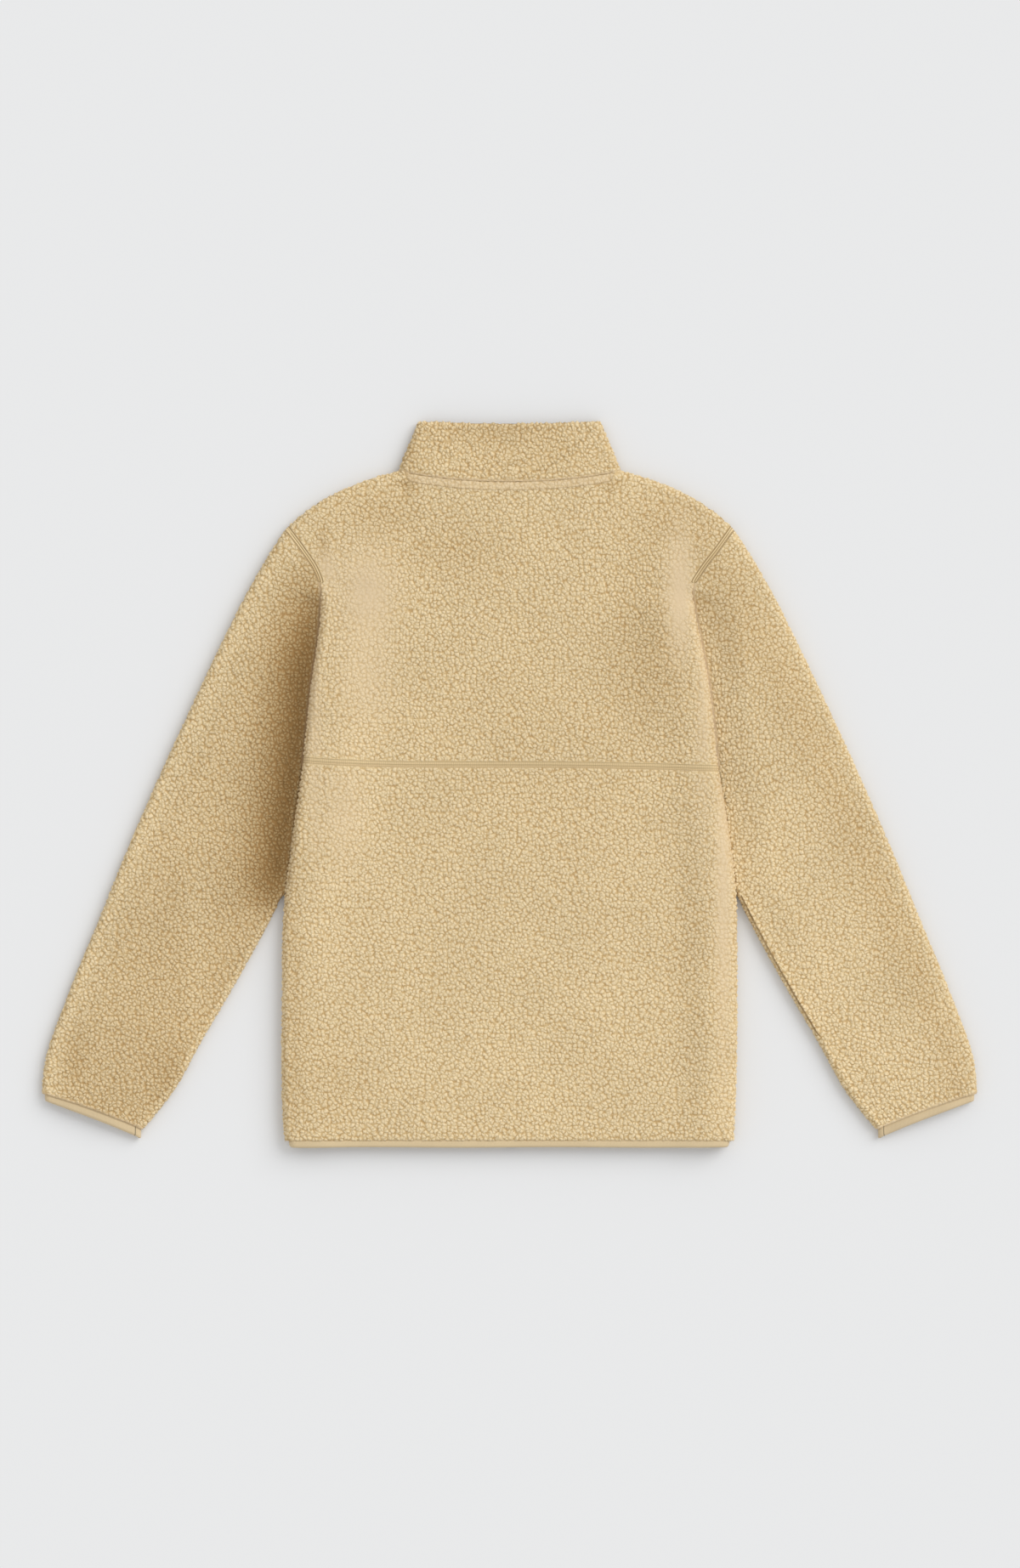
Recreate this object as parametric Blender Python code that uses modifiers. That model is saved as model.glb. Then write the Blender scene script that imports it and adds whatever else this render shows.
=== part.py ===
"""A sherpa fleece jacket with a stand collar and a full-length zip, laid face down.

Metres, +Z up. The jacket lies on z = 0 with its collar towards +Y, and the origin is on that
surface under the middle of the jacket. The wearer's left side is at -X. Every panel is an open
sheet on the garment's outer surface, with its wall on the inside.
"""

import math

import bmesh
import bpy
import numpy as np

MM = 0.001

# Cloth and fold sizes, in millimetres
FLEECE = 3.2            # wall of the pile fabric
BINDING = 2.8           # wall of the folded binding
SEAM = 0.3              # gap between neighbouring pieces
FOLD_HEIGHT = 15.0      # thickness of the flattened body at its folds
FOLD_RADIUS = FOLD_HEIGHT / 2
CUFF_HEIGHT = 12.0      # thickness of the sleeve's outer fold at the cuff
TUCK_HEIGHT = 8.0       # thickness of the sleeve where it meets the body's folded edge
SWELL = 3.0             # how much higher the cloth stands away from its folds
SWELL_REACH = 40.0
RIDGE = 3.0             # the ridge that runs inside each side fold of the back
RIDGE_PLACE = 32.0
RIDGE_WIDTH = 24.0
COLLAR_THINNING = 0.13  # how much lower the collar lies at its top edge

# Lengths along the centre line, in millimetres
BACK_NECK_Y = 319.5
NECK_CORNER = (116.6, 330.8)
COLLAR_TOP_Y = 381.0
FRONT_NECK_Y = 268.0
FRONT_COLLAR_TOP_Y = 328.0
YOKE_Y = 19.0
UNDERARM_Y = 20.3
HEM_Y = -376.7
HEM_BOTTOM_Y = -384.5
ARMHOLE_FOLD_Y = 209.3   # the armhole seam dives under the back's folded edge here
FOLD_START = 42.0        # length over which that edge folds down
CROTCH_Y = -113.9        # the sleeve leaves the body's side here

# Shoulder line from the neck corner to the armhole: distance out from the centre line, height
SHOULDER = (
    # out, y
    (116.6, 330.8),
    (130.0, 327.6),
    (152.0, 320.6),
    (172.4, 312.4),
    (205.2, 294.8),
    (224.0, 281.0),
    (235.4, 270.5),
)

# Outer edge of a sleeve
SLEEVE_OUTER = (
    # y, out
    (270.5, 235.4),
    (240.8, 254.7),
    (204.8, 275.4),
    (132.8, 311.4),
    (60.8, 345.4),
    (-47.3, 394.0),
    (-155.3, 438.4),
    (-227.3, 467.8),
    (-299.3, 491.8),
    (-327.2, 494.2),
)

# Inner edge of a sleeve below the crotch
SLEEVE_INNER = (
    # y, out
    (-113.9, 240.2),
    (-145.4, 256.2),
    (-213.8, 293.6),
    (-272.3, 328.0),
    (-327.6, 359.2),
    (-365.0, 389.0),
)

# Armhole seam, then the folded edge and side of the body
BODY_SIDE = (
    # y, out on the left, out on the right
    (270.5, 235.4, 235.4),
    (248.0, 218.6, 219.4),
    (228.0, 205.4, 204.2),
    (209.3, 198.7, 193.4),
    (182.7, 199.4, 195.6),
    (139.1, 203.9, 204.2),
    (115.7, 208.0, 208.6),
    (63.5, 213.8, 215.2),
    (20.3, 218.2, 219.8),
    (-24.8, 224.6, 227.2),
    (-69.8, 230.6, 234.0),
    (-113.9, 236.4, 239.2),
    (-153.0, 239.2, 240.0),
    (-209.0, 239.8, 240.0),
    (-290.0, 240.4, 239.6),
    (-353.3, 239.0, 237.6),
    (-376.7, 237.2, 236.3),
)

# Rows down the armhole, shared by the back, the fronts and the sleeves
ARMHOLE_ROWS = (248.0, 230.0, 214.0, 199.0, 184.0, 157.0, 120.0, 72.0)

# Columns across the neck, shared by the back, the fronts and the collar
NECK_COLUMNS = (26.0, 50.0, 72.0, 92.0)

# Fleece edge at a cuff, from the outer to the inner fold, and the binding's edge beyond it
CUFF_LINE = (
    # out, y at the fleece edge, y at the binding's edge
    (494.2, -327.2, -334.0),
    (457.0, -338.4, -347.2),
    (425.0, -350.0, -359.4),
    (389.0, -365.0, -375.0),
)

# Zip, in millimetres
ZIP_GAP = 6.0            # half the gap between the front edges
ZIP_BOTTOM_Y = -374.0
ZIP_TOP_Y = 325.0
TAPE = (3.1, 15.0, 3.5, 4.1)      # inner edge, outer edge, underside, top
COIL_HALF = 2.8
COIL_LOW = 3.3
COIL_HIGH = 5.1
SLIDER_LENGTH = 14.0
SLIDER_HALF = 4.0
SLIDER_PLATE = 0.7
SLIDER_LOW = 2.3
SLIDER_HIGH = 6.1
TAB_AXIS_Y = 314.6
TAB_AXIS_Z = 1.5
TAB_THICK = 0.9
TAB_LENGTH = 24.0
TAB_HALF = 3.0
TAB_WINDOW = (1.5, 4.1)  # half width, length
BAIL_HALF = 1.0
BAIL_LOW = 0.1
BAIL_ROOF = 0.6
BAIL_SPAN = (312.0, 317.2)
BAIL_LEG = 1.0

COLOURS = {
    # linear colour, roughness, metallic
    "fleece": ((0.65, 0.51, 0.29), 0.95, 0.0),
    "binding": ((0.64, 0.52, 0.32), 0.8, 0.0),
    "tape": ((0.58, 0.45, 0.27), 0.85, 0.0),
    "coil": ((0.52, 0.40, 0.23), 0.5, 0.0),
    "metal": ((0.55, 0.52, 0.47), 0.35, 1.0),
}


def clear_scene():
    for scene_object in list(bpy.data.objects):
        bpy.data.objects.remove(scene_object, do_unlink=True)


def finish_of(name):
    found = bpy.data.materials.get(name)
    if found:
        return found
    colour, roughness, metallic = COLOURS[name]
    made = bpy.data.materials.new(name)
    made.use_nodes = True
    shader = made.node_tree.nodes["Principled BSDF"]
    shader.inputs["Base Color"].default_value = (*colour, 1.0)
    shader.inputs["Roughness"].default_value = roughness
    shader.inputs["Metallic"].default_value = metallic
    made.diffuse_color = (*colour, 1.0)
    return made


def smooth_step(x):
    x = np.clip(x, 0.0, 1.0)
    return x * x * (3 - 2 * x)


def smooth_curve(x, xs, ys):
    """Reads a smooth curve through the points (xs, ys) at x. xs rise."""
    xs, ys, x = np.asarray(xs, float), np.asarray(ys, float), np.asarray(x, float)
    slope = np.gradient(ys, xs)
    i = np.clip(np.searchsorted(xs, x) - 1, 0, len(xs) - 2)
    width = xs[i + 1] - xs[i]
    t = np.clip((x - xs[i]) / width, 0.0, 1.0)
    rise = (ys[i] * (1 + 2 * t) + width * slope[i] * t) * (1 - t) ** 2
    fall = (ys[i + 1] * (3 - 2 * t) - width * slope[i + 1] * (1 - t)) * t**2
    return rise + fall


def column(table, index):
    return [row[index] for row in table]


def body_side(y, side):
    """Distance out from the centre line to the armhole, folded edge or side seam at height y."""
    index = 1 if side < 0 else 2
    return smooth_curve(y, column(BODY_SIDE, 0)[::-1], column(BODY_SIDE, index)[::-1])


def shoulder_y(out):
    return smooth_curve(out, column(SHOULDER, 0), column(SHOULDER, 1))


def neck_share(x):
    return np.abs(x) / NECK_CORNER[0]


def back_neck_y(x):
    return BACK_NECK_Y + (NECK_CORNER[1] - BACK_NECK_Y) * neck_share(x) ** 2.2


def front_neck_y(x):
    return FRONT_NECK_Y + (NECK_CORNER[1] - FRONT_NECK_Y) * neck_share(x) ** 2.4


def collar_gap(x):
    """How far the collar starts above the neckline, a little more at the neck corners."""
    return SEAM * (0.7 + 2.0 * neck_share(x) ** 8)


def collar_half_width(v):
    return smooth_curve(v, (0.0, 0.34, 0.68, 1.0), (116.6, 110.0, 102.2, 95.2))


def line_points(table, first, second, count):
    """Points evenly spaced in the first column, on the smooth curve through the table."""
    rows = sorted((row[first], row[second]) for row in table)
    xs, ys = zip(*rows)
    x = np.linspace(xs[0], xs[-1], count)
    return x, smooth_curve(x, xs, ys)


def silhouette(side):
    """Outer outline on one side: collar fold, shoulder and the outer edge of the sleeve."""
    v = np.linspace(1.0, 0.0, 6)
    collar = np.stack([collar_half_width(v), 383.5 - (383.5 - NECK_CORNER[1]) * (1 - v)], 1)
    out, y = line_points(SHOULDER, 0, 1, 24)
    shoulder = np.stack([out, y], 1)
    y, out = line_points(SLEEVE_OUTER, 0, 1, 40)
    sleeve = np.stack([out, y], 1)[::-1]
    points = np.concatenate([collar, shoulder[1:], sleeve[1:]])
    points[:, 0] *= side
    return points


def inner_line(side):
    """Folded edge of the body from the armhole down, then the sleeve's inner edge to the cuff."""
    y = np.linspace(ARMHOLE_FOLD_Y, CROTCH_Y, 24)
    edge = np.stack([body_side(y, side), y], 1)
    y, out = line_points(SLEEVE_INNER, 0, 1, 16)
    sleeve = np.stack([out, y], 1)[::-1]
    points = np.concatenate([edge, sleeve[1:]])
    points[:, 0] *= side
    return points


def side_line(side):
    """Folded edge and side of the body, from the start of the fold to the hem."""
    y = np.linspace(ARMHOLE_FOLD_Y, HEM_BOTTOM_Y, 48)
    points = np.stack([body_side(np.maximum(y, HEM_Y), side), y], 1)
    points[:, 0] *= side
    return points


def distance(points, line):
    """Distance of each point to the open polyline, all in the plan."""
    start, step = line[:-1], np.diff(line, axis=0)
    offset = points[..., None, :] - start
    along = np.clip((offset * step).sum(-1) / (step * step).sum(-1), 0.0, 1.0)
    return np.linalg.norm(offset - along[..., None] * step, axis=-1).min(-1)


def fold_share(reach):
    """Height on a fold of round section, from 0 on its outermost line to 1 where it is flat."""
    t = np.clip(reach / FOLD_RADIUS, 0.0, 1.0)
    return np.sqrt(np.clip(1 - (1 - t) ** 2, 0.0, 1.0))


def swell(points):
    """How far the cloth stands above its folds, by its distance from the outline."""
    nearest = np.minimum(distance(points, silhouette(-1)), distance(points, silhouette(1)))
    return SWELL * smooth_step(nearest / SWELL_REACH)


def back_height(points):
    """Top of the back of the body over the plan points."""
    outline = np.minimum(distance(points, silhouette(-1)), distance(points, silhouette(1)))
    height = FOLD_HEIGHT + swell(points)
    for side in (-1, 1):
        reach = distance(points, side_line(side))
        folded = smooth_step((ARMHOLE_FOLD_Y - points[..., 1]) / FOLD_START)
        ridge = np.exp(-(((reach - RIDGE_PLACE) / RIDGE_WIDTH) ** 2))
        height += folded * ridge * RIDGE * smooth_step(reach / FOLD_RADIUS)
        height -= folded * (1 - fold_share(reach)) * (height - FOLD_RADIUS - SEAM / 2)
    on_shoulder = fold_share(outline)
    return height - (1 - on_shoulder) * (height - FOLD_RADIUS - SEAM / 2)


def front_height(points):
    """Underside of the fronts: flat on the surface, rising on the folds to the seams."""
    outline = np.minimum(distance(points, silhouette(-1)), distance(points, silhouette(1)))
    top = FOLD_RADIUS - SEAM / 2
    height = (1 - fold_share(outline)) * top
    joined = smooth_step((UNDERARM_Y + 12.0 - points[..., 1]) / 20.0)
    for side in (-1, 1):
        reach = distance(points, side_line(side))
        height = np.maximum(height, joined * (1 - fold_share(reach)) * top)
    return height


def sleeve_height(points, side):
    """Top of a sleeve: as high as the back at the armhole seam, low beside the folded edge."""
    y = points[..., 1]
    edge = CUFF_HEIGHT + (FOLD_HEIGHT - CUFF_HEIGHT) * smooth_step((y + 330.0) / 600.0)
    middle = edge + swell(points)
    low = smooth_curve(y, (-365.0, -150.0, -90.0, 300.0), (10.5, 9.5, TUCK_HEIGHT, TUCK_HEIGHT))
    near = 1 - smooth_step(distance(points, inner_line(side)) / 45.0)
    folded = smooth_step((ARMHOLE_FOLD_Y - y) / FOLD_START)
    return middle - folded * near * (middle - low)


def sheet_normals(grid, closed):
    """Outward normals of a sheet, with those on its open edges carried on along its curve."""

    def tangents(points, axis, ring):
        if ring:
            return np.roll(points, -1, axis) - np.roll(points, 1, axis)
        return np.gradient(points, axis=axis)

    def unit(vectors):
        return vectors / np.linalg.norm(vectors, axis=-1, keepdims=True)

    normal = unit(np.cross(tangents(grid, 1, closed), -tangents(grid, 0, False)))
    for axis in (0,) if closed else (0, 1):
        edge = np.moveaxis(normal, axis, 0)
        for first, second, third in ((0, 1, 2), (-1, -2, -3)):
            near, far = edge[second].copy(), edge[third].copy()
            edge[first] = unit(2 * (near * far).sum(-1, keepdims=True) * near - far)
    return normal


def square_cuts(normal, grid, closed, cuts):
    """Sets the normals on butted edges square to the edge, in the upright plane of the seam.

    Each cut is an axis (0 for a row, 1 for a column), its index and which of its points are butted.
    """
    for axis, index, butted in cuts:
        lines, edges = np.moveaxis(grid, axis, 0), np.moveaxis(normal, axis, 0)
        line, edge = lines[index], edges[index]
        ahead, behind = np.roll(line, -1, 0) - line, line - np.roll(line, 1, 0)
        if not (closed and axis == 0):
            ahead[-1], behind[0] = 0.0, 0.0
        level = np.linalg.norm(ahead[:, :2], axis=1) > np.linalg.norm(behind[:, :2], axis=1)
        along = np.where(level[:, None], ahead, behind)
        across = np.stack([along[:, 1], -along[:, 0], 0 * along[:, 0]], 1)
        across /= np.linalg.norm(across, axis=1, keepdims=True)
        inwards = lines[1 if index == 0 else -2] - line
        across *= np.sign((across * inwards).sum(1, keepdims=True))
        turned = np.cross(ahead + behind, across)
        turned /= np.linalg.norm(turned, axis=1, keepdims=True)
        turned *= np.sign((turned * edge).sum())
        edge[butted] = turned[butted]


def wall_mesh(name, grid, wall, closed=False, flip=False, cuts=()):
    """The wall between a sheet of points, in millimetres, and the same sheet moved inwards."""
    rows, columns = grid.shape[:2]
    normal = sheet_normals(grid, closed)
    square_cuts(normal, grid, closed, cuts)
    inner = grid - wall * normal * (-1 if flip else 1)
    made = bmesh.new()
    layers = [[[made.verts.new(p * MM) for p in row] for row in sheet] for sheet in (grid, inner)]

    def face(*corners):
        made.faces.new(corners[::-1] if flip else corners)

    last = columns if closed else columns - 1
    for i in range(rows - 1):
        for j in range(last):
            k = (j + 1) % columns
            top, low = layers
            face(top[i][j], top[i + 1][j], top[i + 1][k], top[i][k])
            face(low[i][k], low[i + 1][k], low[i + 1][j], low[i][j])
    for j in range(last):
        k = (j + 1) % columns
        face(top[0][k], low[0][k], low[0][j], top[0][j])
        face(top[-1][j], low[-1][j], low[-1][k], top[-1][k])
    for i in range(0 if closed else rows - 1):
        face(top[i][0], low[i][0], low[i + 1][0], top[i + 1][0])
        face(top[i + 1][-1], low[i + 1][-1], low[i][-1], top[i][-1])
    mesh = bpy.data.meshes.new(name)
    made.to_mesh(mesh)
    made.free()
    return mesh


def new_part(name, mesh, finish):
    part = bpy.data.objects.new(name, mesh)
    part.data.materials.append(finish_of(finish))
    jacket.objects.link(part)
    return part


def cloth(name, grid, wall, cuts, finish="fleece", closed=False, flip=False):
    """A cloth piece: the sheet is its outer surface, and the wall lies inside it."""
    part = new_part(name, wall_mesh(name, grid, wall, closed, flip, cuts), finish)
    part.data.shade_smooth()
    return part


def end_cuts(grid):
    """The first and last row of a sheet, butted all along."""
    butted = np.ones(grid.shape[1], bool)
    return [(0, 0, butted), (0, -1, butted)]


def fold_steps(count=3, radius=FOLD_RADIUS):
    """Distances in from a fold's outermost line, even along its arc."""
    return radius * (1 - np.cos(np.linspace(0, math.pi / 2, count + 1)))


def spread(length, start_folded, end_folded, count):
    """Shares of a length, close together on the folds at its ends and even between them."""
    steps = fold_steps() / length
    first = steps if start_folded else np.array([0.0])
    last = 1 - steps[::-1] if end_folded else np.array([1.0])
    return np.concatenate([first, np.linspace(first[-1], last[0], count + 2)[1:-1], last])


def patch(top, bottom, left, right, across, down):
    """Plan points between four rows of edge points, by shares across and down."""
    u, v = across[None, :, None], down[:, None, None]
    t, b, first, last = top[None], bottom[None], left[:, None], right[:, None]
    corners = (
        (1 - u) * (1 - v) * t[:, :1]
        + u * (1 - v) * t[:, -1:]
        + (1 - u) * v * b[:, :1]
        + u * v * b[:, -1:]
    )
    return (1 - v) * t + v * b + (1 - u) * first + u * last - corners


def with_height(plan, height):
    return np.concatenate([plan, height[..., None]], axis=-1)


def side_points(side, y, inset):
    """The body's edge at the heights y."""
    return np.stack([side * (body_side(y, side) - inset), y], -1)


def yoke_y(x):
    left, right = 5.0 * (x / 220.0) ** 4, -5.0 * (x / 240.0) ** 2
    return YOKE_Y + np.where(x < 0, left, right)


def across_body(low, high, shares, y_of):
    """Points of a seam across the body, from x = low to x = high."""
    x = low + (high - low) * shares
    return np.stack([x, y_of(x) + 0 * x], -1)


def back_top(x):
    """Height of the back's top edge: shoulder, back neck and shoulder."""
    out = np.abs(x)
    shoulder = shoulder_y(np.maximum(out, NECK_CORNER[0]))
    return np.where(out < NECK_CORNER[0], back_neck_y(x) - SEAM / 2, shoulder)


def top_columns():
    """Distances out across the shoulder and neck, from the armhole to the neck's last column."""
    end, neck = SHOULDER[-1][0] - SEAM, NECK_CORNER[0]
    outer = np.linspace(end - FOLD_RADIUS, neck, 6)[:-1]
    return np.concatenate([end - fold_steps()[:-1], outer, neck - fold_steps(), NECK_COLUMNS[::-1]])


def armhole_rows(side):
    """Heights down the armhole: the fold at the shoulder, then the shared rows."""
    line = armhole_line(side)
    reach = np.concatenate([[0.0], np.cumsum(np.linalg.norm(np.diff(line, axis=0), axis=1))])
    return np.concatenate([np.interp(fold_steps(), reach, line[:, 1]), ARMHOLE_ROWS])


def make_back():
    out, end = top_columns(), SHOULDER[-1][0] - SEAM
    across = (np.concatenate([-out, [0.0], out[::-1]]) / end + 1) / 2
    yoke = [yoke_y(-218.0), yoke_y(220.0)]
    sides = []
    for side, y in zip((-1, 1), yoke):
        rows = np.concatenate([armhole_rows(side), [y + SEAM / 2]])
        sides.append(side_points(side, rows, armhole_gap(rows)))
    top = across_body(-end, end, across, back_top)
    seam = across_body(sides[0][-1, 0], sides[1][-1, 0], across, lambda x: yoke_y(x) + SEAM / 2)
    down = (sides[0][0, 1] - sides[0][:, 1]) / (sides[0][0, 1] - sides[0][-1, 1])
    plan = patch(top, seam, sides[0], sides[1], across, down)
    cuts = [(0, 0, np.abs(plan[0, :, 0]) < NECK_CORNER[0] - SEAM), (0, -1, across > -1.0)]
    cuts += [(1, index, plan[:, index, 1] > ARMHOLE_FOLD_Y) for index in (0, -1)]
    cloth("back_upper", with_height(plan, back_height(plan)), FLEECE, cuts)

    across = spread(478.0, True, True, 13)
    down = np.linspace(0, 1, 9)
    sides = []
    for side, y in zip((-1, 1), yoke):
        start = y - SEAM / 2
        sides.append(side_points(side, start + (HEM_Y + SEAM / 2 - start) * down, 0.0))
    seam = across_body(sides[0][0, 0], sides[1][0, 0], across, lambda x: yoke_y(x) - SEAM / 2)
    hem = across_body(sides[0][-1, 0], sides[1][-1, 0], across, lambda x: HEM_Y + SEAM / 2)
    plan = patch(seam, hem, sides[0], sides[1], across, down)
    cloth("back_lower", with_height(plan, back_height(plan)), FLEECE, end_cuts(plan))


def make_front(side):
    """A front panel, from the armhole and side to the zip."""
    end = SHOULDER[-1][0] - SEAM
    out = np.concatenate([top_columns(), [ZIP_GAP]])
    across = (end - out) / (end - ZIP_GAP)
    shoulder = shoulder_y(np.maximum(out, NECK_CORNER[0]))
    top_y = np.where(out < NECK_CORNER[0], front_neck_y(out) - SEAM / 2, shoulder)
    top = np.stack([side * out, top_y], -1)
    underarm = UNDERARM_Y + np.array([14.0, 7.0, 0.0, -6.0, -12.0])
    low = np.linspace(UNDERARM_Y - 30.0, HEM_Y + SEAM / 2, 7)
    rows = np.concatenate([armhole_rows(side), underarm, low])
    down = (rows[0] - rows) / (rows[0] - rows[-1])
    edge = side_points(side, rows, armhole_gap(rows) * smooth_step((rows - UNDERARM_Y + 10.0) / 10.0))
    opening = np.stack([side * ZIP_GAP + 0 * down, top_y[-1] + (rows[-1] - top_y[-1]) * down], -1)
    hem = across_body(edge[-1, 0], side * ZIP_GAP, across, lambda x: HEM_Y + SEAM / 2)
    plan = patch(top, hem, edge, opening, across, down)
    name = "front_left" if side < 0 else "front_right"
    cuts = [(0, 0, out < NECK_CORNER[0] - SEAM), (0, -1, out > -1.0), (1, 0, rows > UNDERARM_Y + 13.0)]
    cloth(name, with_height(plan, front_height(plan)), FLEECE, cuts, flip=side < 0)


def resample(line, shares):
    """Points at the given shares of a polyline's length."""
    steps = np.concatenate([[0.0], np.cumsum(np.linalg.norm(np.diff(line, axis=0), axis=1))])
    at = np.asarray(shares) * steps[-1]
    return np.stack([np.interp(at, steps, line[:, 0]), np.interp(at, steps, line[:, 1])], -1)


def armhole_gap(y):
    """Half the gap along the armhole seam, a little wider at the shoulder and the folded edge."""
    on_edge = np.exp(-(((y - ARMHOLE_FOLD_Y) / 10.0) ** 2))
    return SEAM / 2 * (1 + smooth_step((y - 258.0) / 8.0) + 0.8 * on_edge)


def armhole_line(side):
    y = np.linspace(SHOULDER[-1][1], UNDERARM_Y, 120)
    return np.stack([side * (body_side(y, side) + armhole_gap(y)), y], 1)


def cuff_line(side, index):
    out, y = line_points(CUFF_LINE, 0, index, 12)
    return np.stack([side * out, y], 1)[::-1]


def tube_row(line, shares, outer_height, inner_height, top, arcs=6):
    """Points round a flattened tube that lies along a plan line, from its outer to its inner fold.

    The top runs along the line, the inner fold turns under it, and the underside runs back flat.
    """
    length = np.linalg.norm(np.diff(line, axis=0), axis=1).sum()
    outer, inner = outer_height / 2 / length, inner_height / 2 / length
    flat = resample(line, np.concatenate([[outer], shares, [1 - inner]]))
    heights = top(flat)
    turn = np.linspace(0, math.pi, arcs + 1)[1:-1]
    inner_plan = resample(line, 1 - inner * (1 - np.sin(turn)))
    inner_z = heights[-1] / 2 * (1 + np.cos(turn))
    outer_plan = resample(line, outer * (1 - np.sin(turn[::-1])))
    outer_z = heights[0] / 2 * (1 + np.cos(turn[::-1]))
    plan = np.concatenate([flat, inner_plan, flat[::-1], outer_plan])
    z = np.concatenate([heights, inner_z, 0 * heights, outer_z])
    return with_height(plan, z)


def armhole_shares(side):
    """The shared armhole rows as shares of the seam's length."""
    line = armhole_line(side)
    reach = np.concatenate([[0.0], np.cumsum(np.linalg.norm(np.diff(line, axis=0), axis=1))])
    return np.interp(ARMHOLE_ROWS, line[::-1, 1], reach[::-1]) / reach[-1]


def sleeve_lines(side):
    """Plan lines across a sleeve, from the armhole to the fleece edge at the cuff."""
    y, out = line_points(SLEEVE_OUTER, 0, 1, 60)
    outer = np.stack([side * out, y], 1)[::-1]
    y = np.linspace(UNDERARM_Y, CROTCH_Y, 20)
    hug = np.stack([side * (body_side(y, side) + 0.5), y], 1)
    y, out = line_points(SLEEVE_INNER, 0, 1, 30)
    inner = np.concatenate([hug, np.stack([side * out, y], 1)[::-1][1:]])
    start, end = armhole_line(side), cuff_line(side, 1)
    along = np.array([0, 0.03, 0.08, 0.15, 0.23, 0.33, 0.45, 0.58, 0.72, 0.87, 1.0])
    share = np.linspace(0, 1, 121)

    def bend(line):
        points = resample(line, share)
        return points - (points[0] + (points[-1] - points[0]) * share[:, None])

    lines = []
    for s, a, b in zip(along, resample(outer, along), resample(inner, along)):
        straight = a + (b - a) * share[:, None]
        bent = bend(start) * max(0.0, 1 - s / 0.4) ** 2 + bend(end) * max(0.0, s * 4 - 3)
        lines.append(straight + bent)
    return lines


def make_sleeve(side):
    name = "sleeve_left" if side < 0 else "sleeve_right"
    shares = armhole_shares(side)
    grid = []
    for line in sleeve_lines(side):
        ends = sleeve_height(line[[0, -1]], side)
        grid.append(tube_row(line, shares, ends[0], ends[1], lambda p: sleeve_height(p, side)))
    grid = np.array(grid)
    cloth(name, grid, FLEECE, end_cuts(grid), closed=True, flip=side > 0)


def make_cuff(side):
    """The folded binding round a cuff, as a short tube on from the sleeve's end."""
    name = "cuff_binding_left" if side < 0 else "cuff_binding_right"
    upper, lower = cuff_line(side, 1), cuff_line(side, 2)
    grid = []
    for share in (0.0, 0.7, 1.0):
        line = upper + (lower - upper) * share
        line[:, 1] -= 1.3 * SEAM * (1 - share)
        sunk = 0.3 + 0.5 * (share == 1.0)

        def top(points, sunk=sunk):
            return sleeve_height(points, side) - 2 * sunk

        ends = top(line[[0, -1]])
        grid.append(tube_row(line, armhole_shares(side), ends[0], ends[1], top))
    grid = np.array(grid)
    cloth(name, grid, BINDING, end_cuts(grid), "binding", closed=True, flip=side > 0)


def strip_row(left, right, back, front, height, radius):
    """Points along a band that runs round the body or neck: front, fold, back, fold, front.

    left and right are the columns out from the zip on each side, up to the start of the fold.
    """
    turn = np.linspace(0, math.pi, 7)[1:-1]

    def run(xs, y_of, z):
        return np.stack([xs, y_of(xs), z + 0 * xs], -1)

    fronts = [run(-left, front, 0.0), run(right[::-1], front, 0.0)]
    xs = np.concatenate([-left[:0:-1], [0.0], right[1:]])
    plan = np.stack([xs, back(xs)], -1)
    back_run = with_height(plan, height(plan))
    folds = []
    for side, flat, z in ((-1, left[-1], back_run[0, 2]), (1, right[-1], back_run[-1, 2])):
        x = side * (flat + radius * np.sin(turn))
        share = (1 - np.cos(turn)) / 2
        y = front(x) + (back(x) - front(x)) * share
        fold = np.stack([x, y, z * share], -1)
        folds.append(fold if side < 0 else fold[::-1])
    return np.concatenate([fronts[0], folds[0], back_run, folds[1], fronts[1]])


def make_collar():
    """The stand collar: from the zip round the neck and back to the zip."""
    grid = []
    flat = NECK_CORNER[0] - FOLD_RADIUS
    for v in (0.0, 0.2, 0.5, 0.8, 1.0):
        half = collar_half_width(v)
        scale = NECK_CORNER[0] / half
        columns = np.array([*NECK_COLUMNS, flat]) * (half - FOLD_RADIUS) / flat
        columns = np.concatenate([[ZIP_GAP], columns])

        def back(x, v=v, scale=scale):
            top = COLLAR_TOP_Y + (383.5 - COLLAR_TOP_Y) * neck_share(x * scale) ** 2
            return (back_neck_y(x * scale) + collar_gap(x * scale)) * (1 - v) + top * v

        def front(x, v=v, scale=scale):
            top = FRONT_COLLAR_TOP_Y + (383.5 - FRONT_COLLAR_TOP_Y) * neck_share(x * scale) ** 2.2
            return (front_neck_y(x * scale) + collar_gap(x * scale)) * (1 - v) + top * v

        def height(plan, v=v):
            return (FOLD_HEIGHT + swell(plan) * (1 - v)) * (1 - COLLAR_THINNING * v)

        grid.append(strip_row(columns, columns, back, front, height, FOLD_RADIUS))
    grid = np.array(grid)[::-1]
    cloth("collar", grid, FLEECE, end_cuts(grid))


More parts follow.
